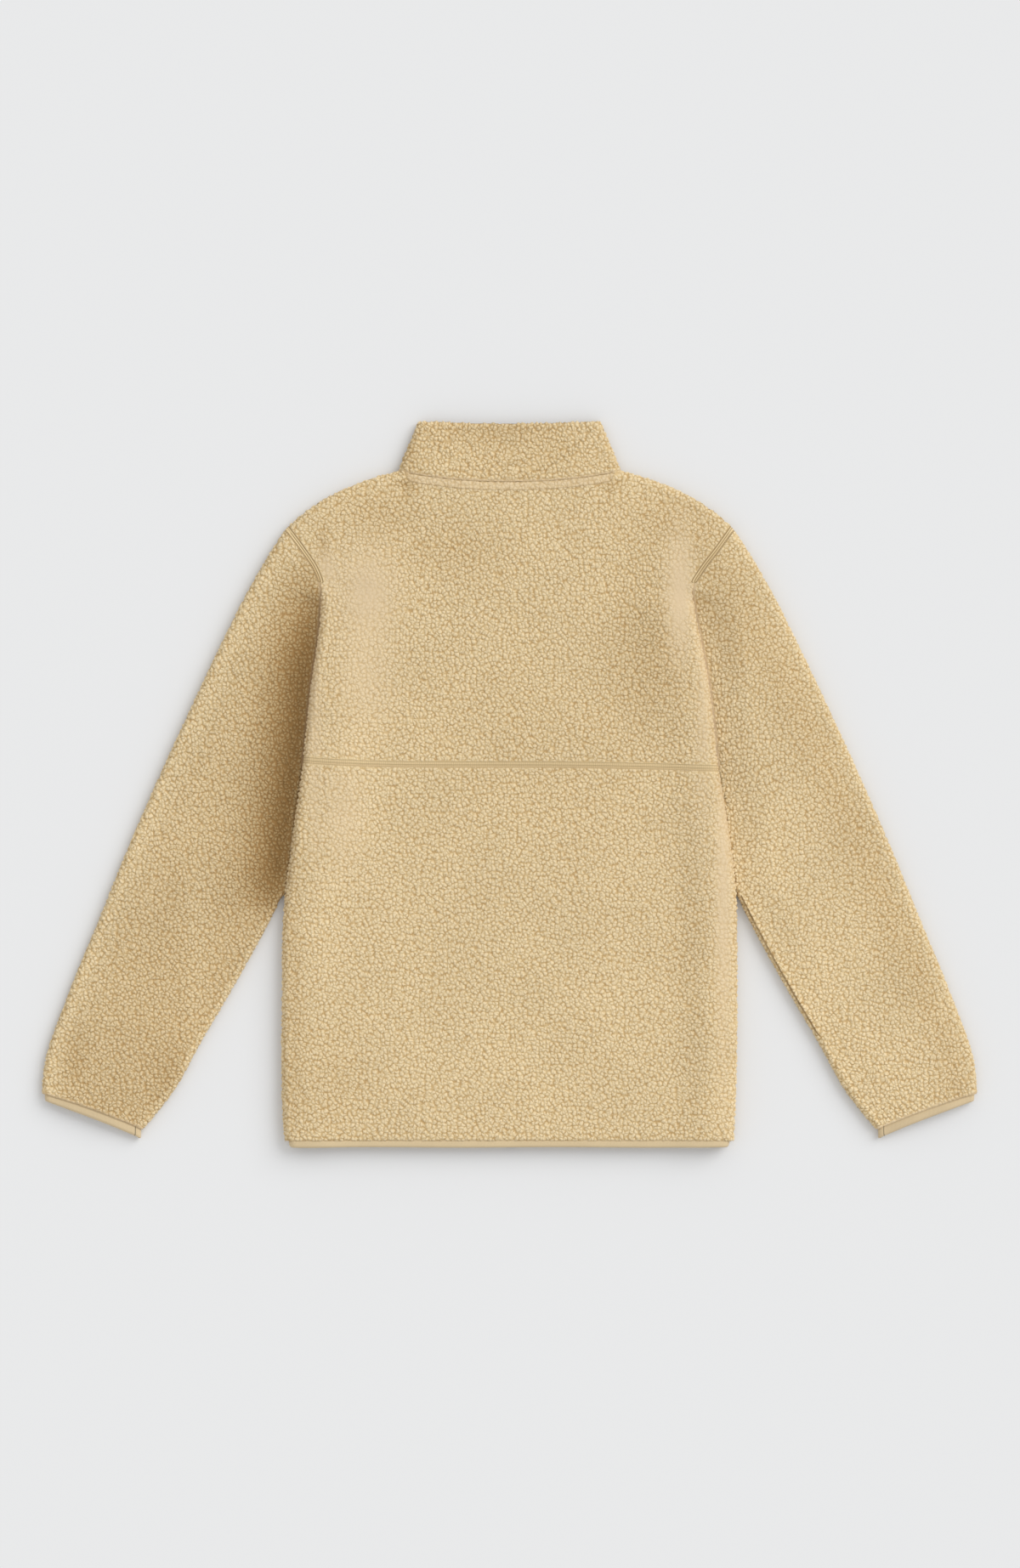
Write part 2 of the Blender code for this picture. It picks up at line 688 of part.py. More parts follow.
def make_hem():
    """The folded binding round the hem, open at the zip."""
    grid = []
    for share in (0.0, 0.7, 1.0):
        y = HEM_Y - SEAM / 2 + (HEM_BOTTOM_Y - HEM_Y + SEAM / 2) * share
        sunk = 0.3 + 0.5 * (share == 1.0)
        radius = FOLD_RADIUS - sunk

        def level(x, y=y):
            return y + 0 * x

        def height(plan, sunk=sunk):
            at_hem = np.stack([plan[..., 0], 0 * plan[..., 1] + HEM_Y], -1)
            return back_height(at_hem) - 2 * sunk

        sides = []
        for side in (-1, 1):
            flat = body_side(HEM_Y, side) - sunk - 2.0 * share**2 - radius
            sides.append(np.concatenate([[ZIP_GAP], np.linspace(40.0, flat, 6)]))
        grid.append(strip_row(sides[0], sides[1], level, level, height, radius))
    grid = np.array(grid)
    cloth("hem_binding", grid, BINDING, end_cuts(grid), "binding")


def block(name, low, high, finish, soften=0.0):
    """A box between two corners in millimetres, with its edges rounded by soften."""
    made = bmesh.new()
    bmesh.ops.create_cube(made, size=1.0)
    low, high = np.array(low, float), np.array(high, float)
    bmesh.ops.scale(made, vec=(high - low) * MM, verts=made.verts)
    bmesh.ops.translate(made, vec=(low + high) / 2 * MM, verts=made.verts)
    mesh = bpy.data.meshes.new(name)
    made.to_mesh(mesh)
    made.free()
    part = new_part(name, mesh, finish)
    if soften:
        edge = part.modifiers.new("Soft edges", "BEVEL")
        edge.width = soften * MM
        edge.segments = 2
    return part


def joined(name, boxes, finish):
    """One solid from boxes that overlap, by Boolean unions applied in turn."""
    first = block(name, *boxes[0], finish)
    for index, (low, high) in enumerate(boxes[1:]):
        other = block(f"{name}_piece_{index}", low, high, finish)
        union = first.modifiers.new(f"Piece {index}", "BOOLEAN")
        union.operation = "UNION"
        union.object = other
        jacket.objects.unlink(other)
        helpers.objects.link(other)
        other.hide_render = True
        other.display_type = "WIRE"
    return first


def make_zip_tapes():
    for side, name in ((-1, "zip_tape_left"), (1, "zip_tape_right")):
        inner, outer, low, high = TAPE
        ends = sorted((side * inner, side * outer))
        block(name, (ends[0], ZIP_BOTTOM_Y, low), (ends[1], ZIP_TOP_Y + 1.0, high), "tape")


def make_zip_chain():
    post_y = ZIP_TOP_Y - 3.7
    low = (-COIL_HALF, ZIP_BOTTOM_Y + 8.5, COIL_LOW)
    block("zip_chain", low, (COIL_HALF, post_y - SEAM, COIL_HIGH), "coil", 0.6)
    block("zip_box", (-2.7, ZIP_BOTTOM_Y, 3.0), (2.7, ZIP_BOTTOM_Y + 8.2, 5.4), "metal", 0.3)
    for side, name in ((-1, "zip_top_stop_left"), (1, "zip_top_stop_right")):
        ends = sorted((side * 0.9, side * 2.8))
        block(name, (ends[0], ZIP_TOP_Y + 0.4, 3.3), (ends[1], ZIP_TOP_Y + 2.9, 5.1), "metal", 0.2)


def make_slider():
    """Two plates joined by a post above the chain, with a bail over the tab's bar."""
    start = ZIP_TOP_Y - SLIDER_LENGTH
    low, high = BAIL_SPAN
    legs_top = SLIDER_LOW + 0.3
    boxes = (
        ((-SLIDER_HALF, start, SLIDER_LOW), (SLIDER_HALF, ZIP_TOP_Y, SLIDER_LOW + SLIDER_PLATE)),
        ((-SLIDER_HALF, start, SLIDER_HIGH - SLIDER_PLATE), (SLIDER_HALF, ZIP_TOP_Y, SLIDER_HIGH)),
        ((-1.0, ZIP_TOP_Y - 3.7, SLIDER_LOW + 0.3), (1.0, ZIP_TOP_Y - 1.0, SLIDER_HIGH - 0.3)),
        ((-BAIL_HALF, low, BAIL_LOW), (BAIL_HALF, low + BAIL_LEG, legs_top)),
        ((-BAIL_HALF, high - BAIL_LEG, BAIL_LOW), (BAIL_HALF, high, legs_top)),
        ((-BAIL_HALF, low + 0.2, BAIL_LOW), (BAIL_HALF, high - 0.2, BAIL_LOW + BAIL_ROOF)),
    )
    joined("zip_slider", boxes, "metal")


def make_pull_tab():
    """A plate with a window; the bar that closes the window turns inside the slider's bail.

    The object's origin is on that bar's axis.
    """
    half_window, window = TAB_WINDOW
    half_thick = TAB_THICK / 2
    end = TAB_LENGTH - half_thick
    outline = ((-TAB_HALF, half_thick), (TAB_HALF, half_thick), (TAB_HALF, -end + 1.5))
    outline += ((TAB_HALF - 1.5, -end), (-TAB_HALF + 1.5, -end), (-TAB_HALF, -end + 1.5))
    far = -half_thick - window
    hole = ((-half_window, -half_thick), (-half_window, far), (half_window, far), (half_window, -half_thick))
    flat = bpy.data.curves.new("zip_pull_tab", "CURVE")
    flat.dimensions = "2D"
    flat.fill_mode = "BOTH"
    flat.extrude = half_thick * MM
    for loop in (outline, hole):
        spline = flat.splines.new("POLY")
        spline.points.add(len(loop) - 1)
        spline.use_cyclic_u = True
        for point, (x, y) in zip(spline.points, loop):
            point.co = (x * MM, y * MM, 0.0, 1.0)
    tab = bpy.data.objects.new("zip_pull_tab", flat)
    tab.data.materials.append(finish_of("metal"))
    tab.location = (0.0, TAB_AXIS_Y * MM, TAB_AXIS_Z * MM)
    jacket.objects.link(tab)


clear_scene()
jacket = bpy.data.collections.new("fleece_jacket")
helpers = bpy.data.collections.new("helpers")
bpy.context.scene.collection.children.link(jacket)
bpy.context.scene.collection.children.link(helpers)
helpers.hide_render = True
make_back()
for sleeve_side in (-1, 1):
    make_front(sleeve_side)
    make_sleeve(sleeve_side)
    make_cuff(sleeve_side)
make_collar()
make_hem()
make_zip_tapes()
make_zip_chain()
make_slider()
make_pull_tab()
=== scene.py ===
import math

import bpy
import numpy as np
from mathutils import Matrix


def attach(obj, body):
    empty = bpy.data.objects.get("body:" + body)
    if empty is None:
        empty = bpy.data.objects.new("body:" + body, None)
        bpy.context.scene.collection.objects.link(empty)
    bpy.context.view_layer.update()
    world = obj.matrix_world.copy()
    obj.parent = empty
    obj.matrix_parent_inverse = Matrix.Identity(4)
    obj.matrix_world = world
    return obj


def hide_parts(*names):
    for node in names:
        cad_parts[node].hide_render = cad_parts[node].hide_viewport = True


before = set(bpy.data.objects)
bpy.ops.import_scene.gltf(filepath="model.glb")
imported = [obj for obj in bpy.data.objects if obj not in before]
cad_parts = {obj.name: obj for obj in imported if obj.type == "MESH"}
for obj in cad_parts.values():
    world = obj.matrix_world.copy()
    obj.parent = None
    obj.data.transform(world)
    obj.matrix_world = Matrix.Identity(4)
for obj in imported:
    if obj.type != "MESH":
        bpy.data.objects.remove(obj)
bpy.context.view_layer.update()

mm = 0.001

# Lengths below are in millimetres; a mesh is made in metres

cut = {
    "backNeckY": 319.5,
    "neckCorner": (116.6, 330.8),
    "collarTopY": 381.0,
    "collarCornerY": 383.5,
    "frontNeckY": 268.0,
    "frontCollarTopY": 328.0,
    "yokeY": 19.0,
    "underarmY": 20.3,
    "hemY": -376.7,
    "hemBottomY": -384.5,
    "armholeFoldY": 209.3,
    "foldStart": 24.0,
    "crotchY": -113.9,
    "zipGap": 6.0,
}

thickness = {
    "fold": 15.0,       # the flattened body at its folds
    "cuff": 12.0,
    "tuck": 8.0,        # sleeve beside the body's folded edge
    "swell": 3.0,
    "swellReach": 40.0,
    "ridge": 3.0,
    "ridgePlace": 32.0,
    "ridgeWidth": 24.0,
    "collarThinning": 0.13,
    "fleece": 2.8,      # backing cloth under the pile
    "frontFleece": 2.6,
    "binding": 2.5,
    "tape": 0.45,
    "pileRoom": 0.55,   # how far the cloth lies below the CAD surface, to leave room for its pile
    "underside": 0.9,   # cloth of the sleeves and fronts above the surface they lie on
}
foldRadius = thickness["fold"] / 2
foldLevel = foldRadius - 0.15      # where the front's cloth meets the back's
seamGap = 0.05                     # half the gap left at a seam
sideNames = {-1: ("left", "Left"), 1: ("right", "Right")}

shoulderLine = [(116.6, 330.8), (130.0, 327.6), (152.0, 320.6), (172.4, 312.4),
                (205.2, 294.8), (224.0, 281.0), (235.4, 270.5)]           # out, y
sleeveOuter = [(270.5, 235.4), (240.8, 254.7), (204.8, 275.4), (132.8, 311.4), (60.8, 345.4),
               (-47.3, 394.0), (-155.3, 438.4), (-227.3, 467.8), (-299.3, 491.8),
               (-327.2, 494.2)]                                           # y, out
sleeveInner = [(-113.9, 240.2), (-145.4, 256.2), (-213.8, 293.6), (-272.3, 328.0),
               (-327.6, 359.2), (-365.0, 389.0)]                          # y, out
bodyEdge = [(270.5, 235.4, 235.4), (248.0, 218.6, 219.4), (228.0, 205.4, 204.2),
            (209.3, 198.7, 193.4), (182.7, 199.4, 195.6), (139.1, 203.9, 204.2),
            (115.7, 208.0, 208.6), (63.5, 213.8, 215.2), (20.3, 218.2, 219.8),
            (-24.8, 224.6, 227.2), (-69.8, 230.6, 234.0), (-113.9, 236.4, 239.2),
            (-153.0, 239.2, 240.0), (-209.0, 239.8, 240.0), (-290.0, 240.4, 239.6),
            (-353.3, 239.0, 237.6), (-376.7, 237.2, 236.3)]               # y, out left, out right
cuffEdge = [(494.2, -327.2, -334.0), (457.0, -338.4, -347.2), (425.0, -350.0, -359.4),
            (389.0, -365.0, -375.0)]                                      # out, y fleece, y binding


def smoothStep(x):
    x = np.clip(x, 0.0, 1.0)
    return x * x * (3 - 2 * x)


def hump(x, width):
    # 1 in the middle, fading away over the width
    return np.exp(-((x / width) ** 2))


def smoothCurve(x, xs, ys):
    xs, ys, x = np.asarray(xs, float), np.asarray(ys, float), np.asarray(x, float)
    slope = np.gradient(ys, xs)
    i = np.clip(np.searchsorted(xs, x) - 1, 0, len(xs) - 2)
    width = xs[i + 1] - xs[i]
    t = np.clip((x - xs[i]) / width, 0.0, 1.0)
    rise = (ys[i] * (1 + 2 * t) + width * slope[i] * t) * (1 - t) ** 2
    fall = (ys[i + 1] * (3 - 2 * t) - width * slope[i + 1] * (1 - t)) * t**2
    return rise + fall


def pick(table, index):
    return [row[index] for row in table]


def bodySide(y, side):
    return smoothCurve(y, pick(bodyEdge, 0)[::-1], pick(bodyEdge, 1 if side < 0 else 2)[::-1])


def shoulderY(out):
    return smoothCurve(out, pick(shoulderLine, 0), pick(shoulderLine, 1))


def neckShare(x):
    return np.abs(x) / cut["neckCorner"][0]


def backNeckY(x):
    return cut["backNeckY"] + (cut["neckCorner"][1] - cut["backNeckY"]) * neckShare(x) ** 2.2


def frontNeckY(x):
    return cut["frontNeckY"] + (cut["neckCorner"][1] - cut["frontNeckY"]) * neckShare(x) ** 2.4


def yokeLine(x):
    left, right = 5.0 * (x / 220.0) ** 4, -5.0 * (x / 240.0) ** 2
    return cut["yokeY"] + np.where(x < 0, left, right)


def collarHalf(v):
    return smoothCurve(v, (0.0, 0.34, 0.68, 1.0), (116.6, 110.0, 102.2, 95.2))


def curveThrough(table, first, second, count):
    xs, ys = zip(*sorted((row[first], row[second]) for row in table))
    x = np.linspace(xs[0], xs[-1], count)
    return x, smoothCurve(x, xs, ys)


def outline(side):
    v = np.linspace(1.0, 0.0, 6)
    top, corner = cut["collarCornerY"], cut["neckCorner"][1]
    collar = np.stack([collarHalf(v), top - (top - corner) * (1 - v)], 1)
    shoulder = np.stack(curveThrough(shoulderLine, 0, 1, 24), 1)
    y, out = curveThrough(sleeveOuter, 0, 1, 40)
    points = np.concatenate([collar, shoulder[1:], np.stack([out, y], 1)[::-1][1:]])
    points[:, 0] *= side
    return points


def innerFold(side):
    y = np.linspace(cut["armholeFoldY"], cut["crotchY"], 24)
    edge = np.stack([bodySide(y, side), y], 1)
    y, out = curveThrough(sleeveInner, 0, 1, 16)
    points = np.concatenate([edge, np.stack([out, y], 1)[::-1][1:]])
    points[:, 0] *= side
    return points


def bodyFold(side):
    y = np.linspace(cut["armholeFoldY"], cut["hemBottomY"], 48)
    return np.stack([side * bodySide(np.maximum(y, cut["hemY"]), side), y], 1)


def armhole(side, gap=0.0):
    y = np.linspace(shoulderLine[-1][1], cut["underarmY"], 160)
    return np.stack([side * (bodySide(y, side) + gap), y], 1)


def distanceTo(points, line):
    flat = points.reshape(-1, 2)
    start, step = line[:-1], np.diff(line, axis=0)
    nearest = np.full(len(flat), 1e9)
    for a, d in zip(start, step):
        offset = flat - a
        along = np.clip(offset @ d / (d @ d), 0.0, 1.0)
        nearest = np.minimum(nearest, np.linalg.norm(offset - along[:, None] * d, axis=1))
    return nearest.reshape(points.shape[:-1])


def rimDistance(points):
    return np.minimum(distanceTo(points, outline(-1)), distanceTo(points, outline(1)))


def onFold(reach, radius=foldRadius):
    t = np.clip(reach / radius, 0.0, 1.0)
    return np.sqrt(np.clip(1 - (1 - t) ** 2, 0.0, 1.0))


def swellAt(nearest):
    return thickness["swell"] * smoothStep(nearest / thickness["swellReach"])


# broad relief of the back, laid in one by one: the two ends of each fold, half width, height
backFolds = [
    ((-168, 150), (-176, -60), 30, 1.6),
    ((-150, -20), (-196, -330), 34, 1.3),
    ((205, 160), (222, -60), 22, 1.8),
    ((218, -60), (214, -350), 18, 1.4),
    ((176, 130), (186, -330), 20, -1.5),
    ((120, 210), (150, 60), 36, -1.6),
    ((-60, 240), (-20, 120), 60, -0.8),
    ((-196, 150), (-180, 190), 20, -1.2),
    ((-60, -60), (30, -300), 70, -0.8),
    ((70, -100), (95, -330), 40, 0.7),
    ((-120, 268), (-150, 250), 24, -1.2),
    ((110, 275), (150, 262), 26, -1.0),
]


def softFolds(points, folds):
    height = np.zeros(points.shape[:-1])
    for start, end, half, amount in folds:
        line = np.array([start, end], float)
        height += amount * hump(distanceTo(points, line), half)
    return height


def backHeight(points):
    rim = rimDistance(points)
    height = thickness["fold"] + swellAt(rim)
    relief = softFolds(points, backFolds)
    for side in (-1, 1):
        reach = distanceTo(points, bodyFold(side))
        folded = smoothStep((cut["armholeFoldY"] - points[..., 1]) / cut["foldStart"])
        ridge = hump(reach - thickness["ridgePlace"], thickness["ridgeWidth"])
        height = height + folded * ridge * thickness["ridge"] * smoothStep(reach / foldRadius)
        relief = relief * smoothStep(reach / 16)
        height = height - folded * (1 - onFold(reach)) * (height - foldLevel)
    height = height + relief * smoothStep(rim / 20)
    return height - (1 - onFold(rim)) * (height - foldLevel)


def frontHeight(points):
    height = (1 - onFold(rimDistance(points))) * foldLevel
    joined = smoothStep((cut["underarmY"] + 12.0 - points[..., 1]) / 20.0)
    for side in (-1, 1):
        reach = distanceTo(points, bodyFold(side))
        height = np.maximum(height, joined * (1 - onFold(reach)) * foldLevel)
    return height


# the same for the sleeves
sleeveFolds = {
    -1: [((-262, 150), (-350, -60), 18, 0.7), ((-330, -40), (-390, -200), 20, -0.6),
         ((-400, -120), (-440, -230), 20, 0.6), ((-352, -250), (-390, -300), 14, -1.2),
         ((-452, -280), (-462, -318), 12, -1.0), ((-320, -60), (-372, -170), 14, 0.8)],
    1: [((236, 170), (300, 60), 22, 0.8), ((330, 60), (440, -190), 16, -1.0),
        ((290, 0), (370, -200), 24, 0.8), ((400, -250), (430, -320), 20, 0.6)],
}


def sleeveHeight(points, side):
    y = points[..., 1]
    atCuff, atFold, tuck = thickness["cuff"], thickness["fold"], thickness["tuck"]
    edge = atCuff + (atFold - atCuff) * smoothStep((y + 330.0) / 600.0)
    rim = rimDistance(points)
    fold = distanceTo(points, innerFold(side))
    middle = edge + swellAt(rim) + softFolds(points, sleeveFolds[side]) * smoothStep(rim / 20)
    low = smoothCurve(y, (-365.0, -150.0, -90.0, 300.0), (10.5, 9.5, tuck, tuck))
    near = 1 - smoothStep(fold / 45.0)
    folded = smoothStep((cut["armholeFoldY"] - y) / cut["foldStart"])
    return middle - folded * near * (middle - low)


def arcShares(length, foldStart, foldEnd, step, radius=foldRadius):
    # shares of a length, evenly spaced along the cloth where it turns round a fold
    quarter = math.pi / 2 * radius
    extra = quarter - radius
    total = length + extra * (foldStart + foldEnd)
    s = np.linspace(0.0, total, int(round(total / step)) + 1)
    reach = s - extra * foldStart
    if foldStart:
        reach = np.where(s < quarter, radius * (1 - np.cos(s / radius)), reach)
    if foldEnd:
        back = total - s
        reach = np.where(back < quarter, length - radius * (1 - np.cos(back / radius)), reach)
    return np.clip(reach / length, 0.0, 1.0)


def resample(line, shares):
    steps = np.concatenate([[0.0], np.cumsum(np.linalg.norm(np.diff(line, axis=0), axis=1))])
    at = np.asarray(shares) * steps[-1]
    return np.stack([np.interp(at, steps, line[:, i]) for i in range(line.shape[1])], -1)


def coons(top, bottom, left, right, across, down):
    u, v = across[None, :, None], down[:, None, None]
    t, b, first, last = top[None], bottom[None], left[:, None], right[:, None]
    corners = (1 - u) * (1 - v) * t[:, :1] + u * (1 - v) * t[:, -1:]
    corners = corners + (1 - u) * v * b[:, :1] + u * v * b[:, -1:]
    return (1 - v) * t + v * b + (1 - u) * first + u * last - corners


def raised(plan, height):
    return np.concatenate([plan, height[..., None]], axis=-1)


def gridNormals(grid, closed):
    def unit(v):
        return v / np.maximum(np.linalg.norm(v, axis=-1, keepdims=True), 1e-9)

    if closed:
        across = np.roll(grid, -1, 1) - np.roll(grid, 1, 1)
    else:
        across = np.gradient(grid, axis=1)
    return unit(np.cross(across, -np.gradient(grid, axis=0)))


def clothPlaces(grid, closed=False, flip=False, radius=foldRadius):
    # where each point lies on the flat cloth: its plan, carried on round a fold by the length of the arc
    normal = gridNormals(grid, closed) * (-1 if flip else 1)
    level = np.linalg.norm(normal[..., :2], axis=-1, keepdims=True)
    away = normal[..., :2] / np.maximum(level, 1e-6)
    turned = np.arccos(np.clip(normal[..., 2:], -1.0, 1.0))
    turned = np.where(normal[..., 2:] < -0.7, math.pi - turned, turned)
    flat = grid[..., :2] + away * radius * (turned - np.sin(turned))
    return np.concatenate([flat, np.zeros_like(level)], -1)


def sheetMesh(name, grid, wall, points, closed=False, flip=False, stride=6):
    # points holds one array over the grid for each attribute: place and seams are vectors, the rest numbers
    rows, columns = grid.shape[:2]
    sign = -1 if flip else 1
    normals = gridNormals(grid, closed)
    for edge, deep in ((0, 3), (1, 4), (2, 5), (-1, -4), (-2, -5)):
        stray = np.sum(normals[edge] * normals[deep], axis=-1) < 0.3
        normals[edge][stray] = normals[deep][stray]
    inner = grid - wall * normals * sign
    inner[..., 2] = np.clip(inner[..., 2], 0.6, None)
    outerId = np.arange(rows * columns).reshape(rows, columns)
    if closed:
        nextColumn = np.roll(outerId, -1, 1)
        a, b, c, d = outerId[:-1], outerId[1:], nextColumn[1:], nextColumn[:-1]
    else:
        a, b, c, d = outerId[:-1, :-1], outerId[1:, :-1], outerId[1:, 1:], outerId[:-1, 1:]
    faces = np.stack([a, b, c, d], -1).reshape(-1, 4)
    if flip:
        faces = faces[:, ::-1]
    faces = faces.tolist()

    used = {}

    def innerVertex(r, c):
        key = (r, c % columns) if closed else (r, c)
        if key not in used:
            used[key] = rows * columns + len(used)
        return used[key]

    def add(loop):
        faces.append(loop[::-1] if flip else loop)

    lineRows = sorted({*range(0, rows, stride), rows - 1})
    ends = columns if closed else columns - 1
    lineColumns = sorted({*range(0, ends, stride), ends})
    for r0, r1 in zip(lineRows, lineRows[1:]):
        for c0, c1 in zip(lineColumns, lineColumns[1:]):
            loop = list(range(c0, c1)) if r0 == 0 else [c0]
            loop = [(r0, c) for c in loop]
            onRight = not closed and c1 == columns - 1
            loop += [(r, c1) for r in (range(r0, r1) if onRight else [r0])]
            loop += [(r1, c) for c in (range(c1, c0, -1) if r1 == rows - 1 else [c1])]
            onLeft = not closed and c0 == 0
            loop += [(r, c0) for r in (range(r1, r0, -1) if onLeft else [r1])]
            add([innerVertex(r, c) for r, c in loop])
    for c in range(ends):
        k = (c + 1) % columns
        add([outerId[0, k], innerVertex(0, c + 1), innerVertex(0, c), outerId[0, c]])
        add([outerId[-1, c], innerVertex(rows - 1, c), innerVertex(rows - 1, c + 1), outerId[-1, k]])
    for r in range(0 if closed else rows - 1):
        add([outerId[r, 0], innerVertex(r, 0), innerVertex(r + 1, 0), outerId[r + 1, 0]])
        add([outerId[r + 1, -1], innerVertex(r + 1, ends), innerVertex(r, ends), outerId[r, -1]])

    keys = np.array(list(used))
    vertices = np.concatenate([grid.reshape(-1, 3), inner[keys[:, 0], keys[:, 1]]]) * mm
    mesh = bpy.data.meshes.new(name)
    mesh.from_pydata(vertices.tolist(), [], [[int(i) for i in f] for f in faces])
    count = len(vertices)
    for key, values in points.items():
        extra = values[keys[:, 0], keys[:, 1]]
        if key in ("place", "seams"):
            whole = np.concatenate([values.reshape(-1, 3), extra])
            layer = mesh.attributes.new(key, "FLOAT_VECTOR", "POINT")
            layer.data.foreach_set("vector", whole.astype(np.float32).ravel())
        else:
            fixed = np.zeros_like(extra) if key == "pile" else extra
            whole = np.concatenate([values.ravel(), fixed])
            layer = mesh.attributes.new(key, "FLOAT", "POINT")
            layer.data.foreach_set("value", whole.astype(np.float32))
    inside = mesh.attributes.new("inside", "FLOAT", "POINT")
    inside.data.foreach_set("value", (np.arange(count) >= rows * columns).astype(np.float32))
    piece = bpy.data.objects.new(name, mesh)
    bpy.context.scene.collection.objects.link(piece)
    mesh.shade_smooth()
    return piece


pileLook = {
    "tuft": 3.9,         # size of one tuft, mm
    "height": 1.3,       # tallest tuft, mm
    "fringe": 0.8,       # how much taller the pile stands at a turned edge, as a share
    "warp": 0.55,        # how crooked the tufts are
    "groove": 0.29,      # how wide the grooves between tufts are, as a share of a tuft
}


def addNode(tree, kind, **settings):
    node = tree.nodes.new(kind)
    for key, value in settings.items():
        setattr(node, key, value)
    return node


def link(tree, source, target):
    tree.links.new(source, target)


def mathNode(tree, operation, first, second=None, third=None, clamp=False):
    node = addNode(tree, "ShaderNodeMath", operation=operation, use_clamp=clamp)
    for socket, value in zip(node.inputs, (first, second, third)):
        if value is None:
            continue
        if isinstance(value, (int, float)):
            socket.default_value = value
        else:
            link(tree, value, socket)
    return node.outputs[0]


def vectorNode(tree, operation, first, second=None, scale=None):
    node = addNode(tree, "ShaderNodeVectorMath", operation=operation)
    link(tree, first, node.inputs[0])
    if second is not None:
        if isinstance(second, tuple):
            node.inputs[1].default_value = second
        else:
            link(tree, second, node.inputs[1])
    if scale is not None:
        node.inputs["Scale"].default_value = scale
    return node.outputs[0]


def noiseNode(tree, place, scale, detail=2.0, roughness=0.5, colour=False):
    node = addNode(tree, "ShaderNodeTexNoise", noise_dimensions="3D")
    link(tree, place, node.inputs["Vector"])
    node.inputs["Scale"].default_value = scale
    node.inputs["Detail"].default_value = detail
    node.inputs["Roughness"].default_value = roughness
    return node.outputs["Color" if colour else "Fac"]


def remap(tree, value, low, high, toLow=0.0, toHigh=1.0):
    node = addNode(tree, "ShaderNodeMapRange", interpolation_type="SMOOTHSTEP")
    link(tree, value, node.inputs["Value"])
    for key, number in (("From Min", low), ("From Max", high), ("To Min", toLow), ("To Max", toHigh)):
        node.inputs[key].default_value = number
    return node.outputs[0]


def multiply(tree, first, second):
    return mathNode(tree, "MULTIPLY", first, second)


def addTo(tree, base, value, amount):
    return mathNode(tree, "MULTIPLY_ADD", value, amount, base)


def addNoise(tree, base, noise, amount):
    # noise raises and lowers the base by up to half the amount
    return addTo(tree, base, mathNode(tree, "SUBTRACT", noise, 0.5), amount)


def pileNodes(tree, place, pile):
    # height of the pile from 0 to 1, from the place on the cloth in mm and how full the pile is
    scaled = vectorNode(tree, "SCALE", place, scale=1.0 / pileLook["tuft"])
    warped = scaled
    for scale, amount in ((1.2, pileLook["warp"] * 2), (0.35, 0.9)):
        noise = noiseNode(tree, scaled, scale, 1.0, colour=True)
        shift = vectorNode(tree, "SUBTRACT", noise, (0.5, 0.5, 0.5))
        warped = vectorNode(tree, "ADD", warped, vectorNode(tree, "SCALE", shift, scale=amount))

    def cells(feature, scale):
        node = addNode(tree, "ShaderNodeTexVoronoi", voronoi_dimensions="2D", feature=feature)
        link(tree, warped, node.inputs["Vector"])
        node.inputs["Scale"].default_value = scale
        return node.outputs["Distance"]

    groove = remap(tree, cells("DISTANCE_TO_EDGE", 1.0), 0.0, pileLook["groove"], 1.0, 0.0)
    moved = vectorNode(tree, "ADD", scaled, (7.3, 2.1, 0.0))
    deep = remap(tree, noiseNode(tree, moved, 0.9, 1.0), 0.38, 0.60, 0.5, 1.0)
    curl = remap(tree, cells("DISTANCE_TO_EDGE", 1.9), 0.0, pileLook["groove"], 0.85, 1.0)
    tufts = multiply(tree, mathNode(tree, "SUBTRACT", 1.0, multiply(tree, groove, deep)), curl)
    dome = remap(tree, cells("F1", 1.0), 0.0, 0.75, 0.5, 0.0)
    height = addTo(tree, dome, tufts, 0.5)
    # where the pile is brushed flat its tufts run together
    level = multiply(tree, mathNode(tree, "SUBTRACT", 1.0, pile), 0.49)
    return addTo(tree, level, height, pile)


def pileTree():
    tree = bpy.data.node_groups.new("pile", "GeometryNodeTree")
    tree.interface.new_socket("Geometry", in_out="INPUT", socket_type="NodeSocketGeometry")
    tree.interface.new_socket("Geometry", in_out="OUTPUT", socket_type="NodeSocketGeometry")
    start, end = tree.nodes.new("NodeGroupInput"), tree.nodes.new("NodeGroupOutput")

    def named(name, kind):
        node = addNode(tree, "GeometryNodeInputNamedAttribute", data_type=kind)
        node.inputs["Name"].default_value = name
        return node.outputs["Attribute"]

    place, pile = named("place", "FLOAT_VECTOR"), named("pile", "FLOAT")
    lift, inside = named("lift", "FLOAT"), named("inside", "FLOAT")
    height = pileNodes(tree, place, pile)
    outside = mathNode(tree, "SUBTRACT", 1.0, inside)
    height = multiply(tree, multiply(tree, height, lift), outside)
    normal = tree.nodes.new("GeometryNodeInputNormal")
    offset = addNode(tree, "ShaderNodeVectorMath", operation="SCALE")
    link(tree, normal.outputs["Normal"], offset.inputs[0])
    link(tree, multiply(tree, height, pileLook["height"] * mm), offset.inputs["Scale"])
    move = tree.nodes.new("GeometryNodeSetPosition")
    link(tree, start.outputs[0], move.inputs["Geometry"])
    link(tree, offset.outputs[0], move.inputs["Offset"])
    link(tree, move.outputs[0], end.inputs[0])
    return tree


pileGroup = pileTree()


def applyModifier(piece, modifier):
    bpy.ops.object.select_all(action="DESELECT")
    bpy.context.view_layer.objects.active = piece
    piece.select_set(True)
    bpy.ops.object.modifier_apply(modifier=modifier.name)
    piece.select_set(False)


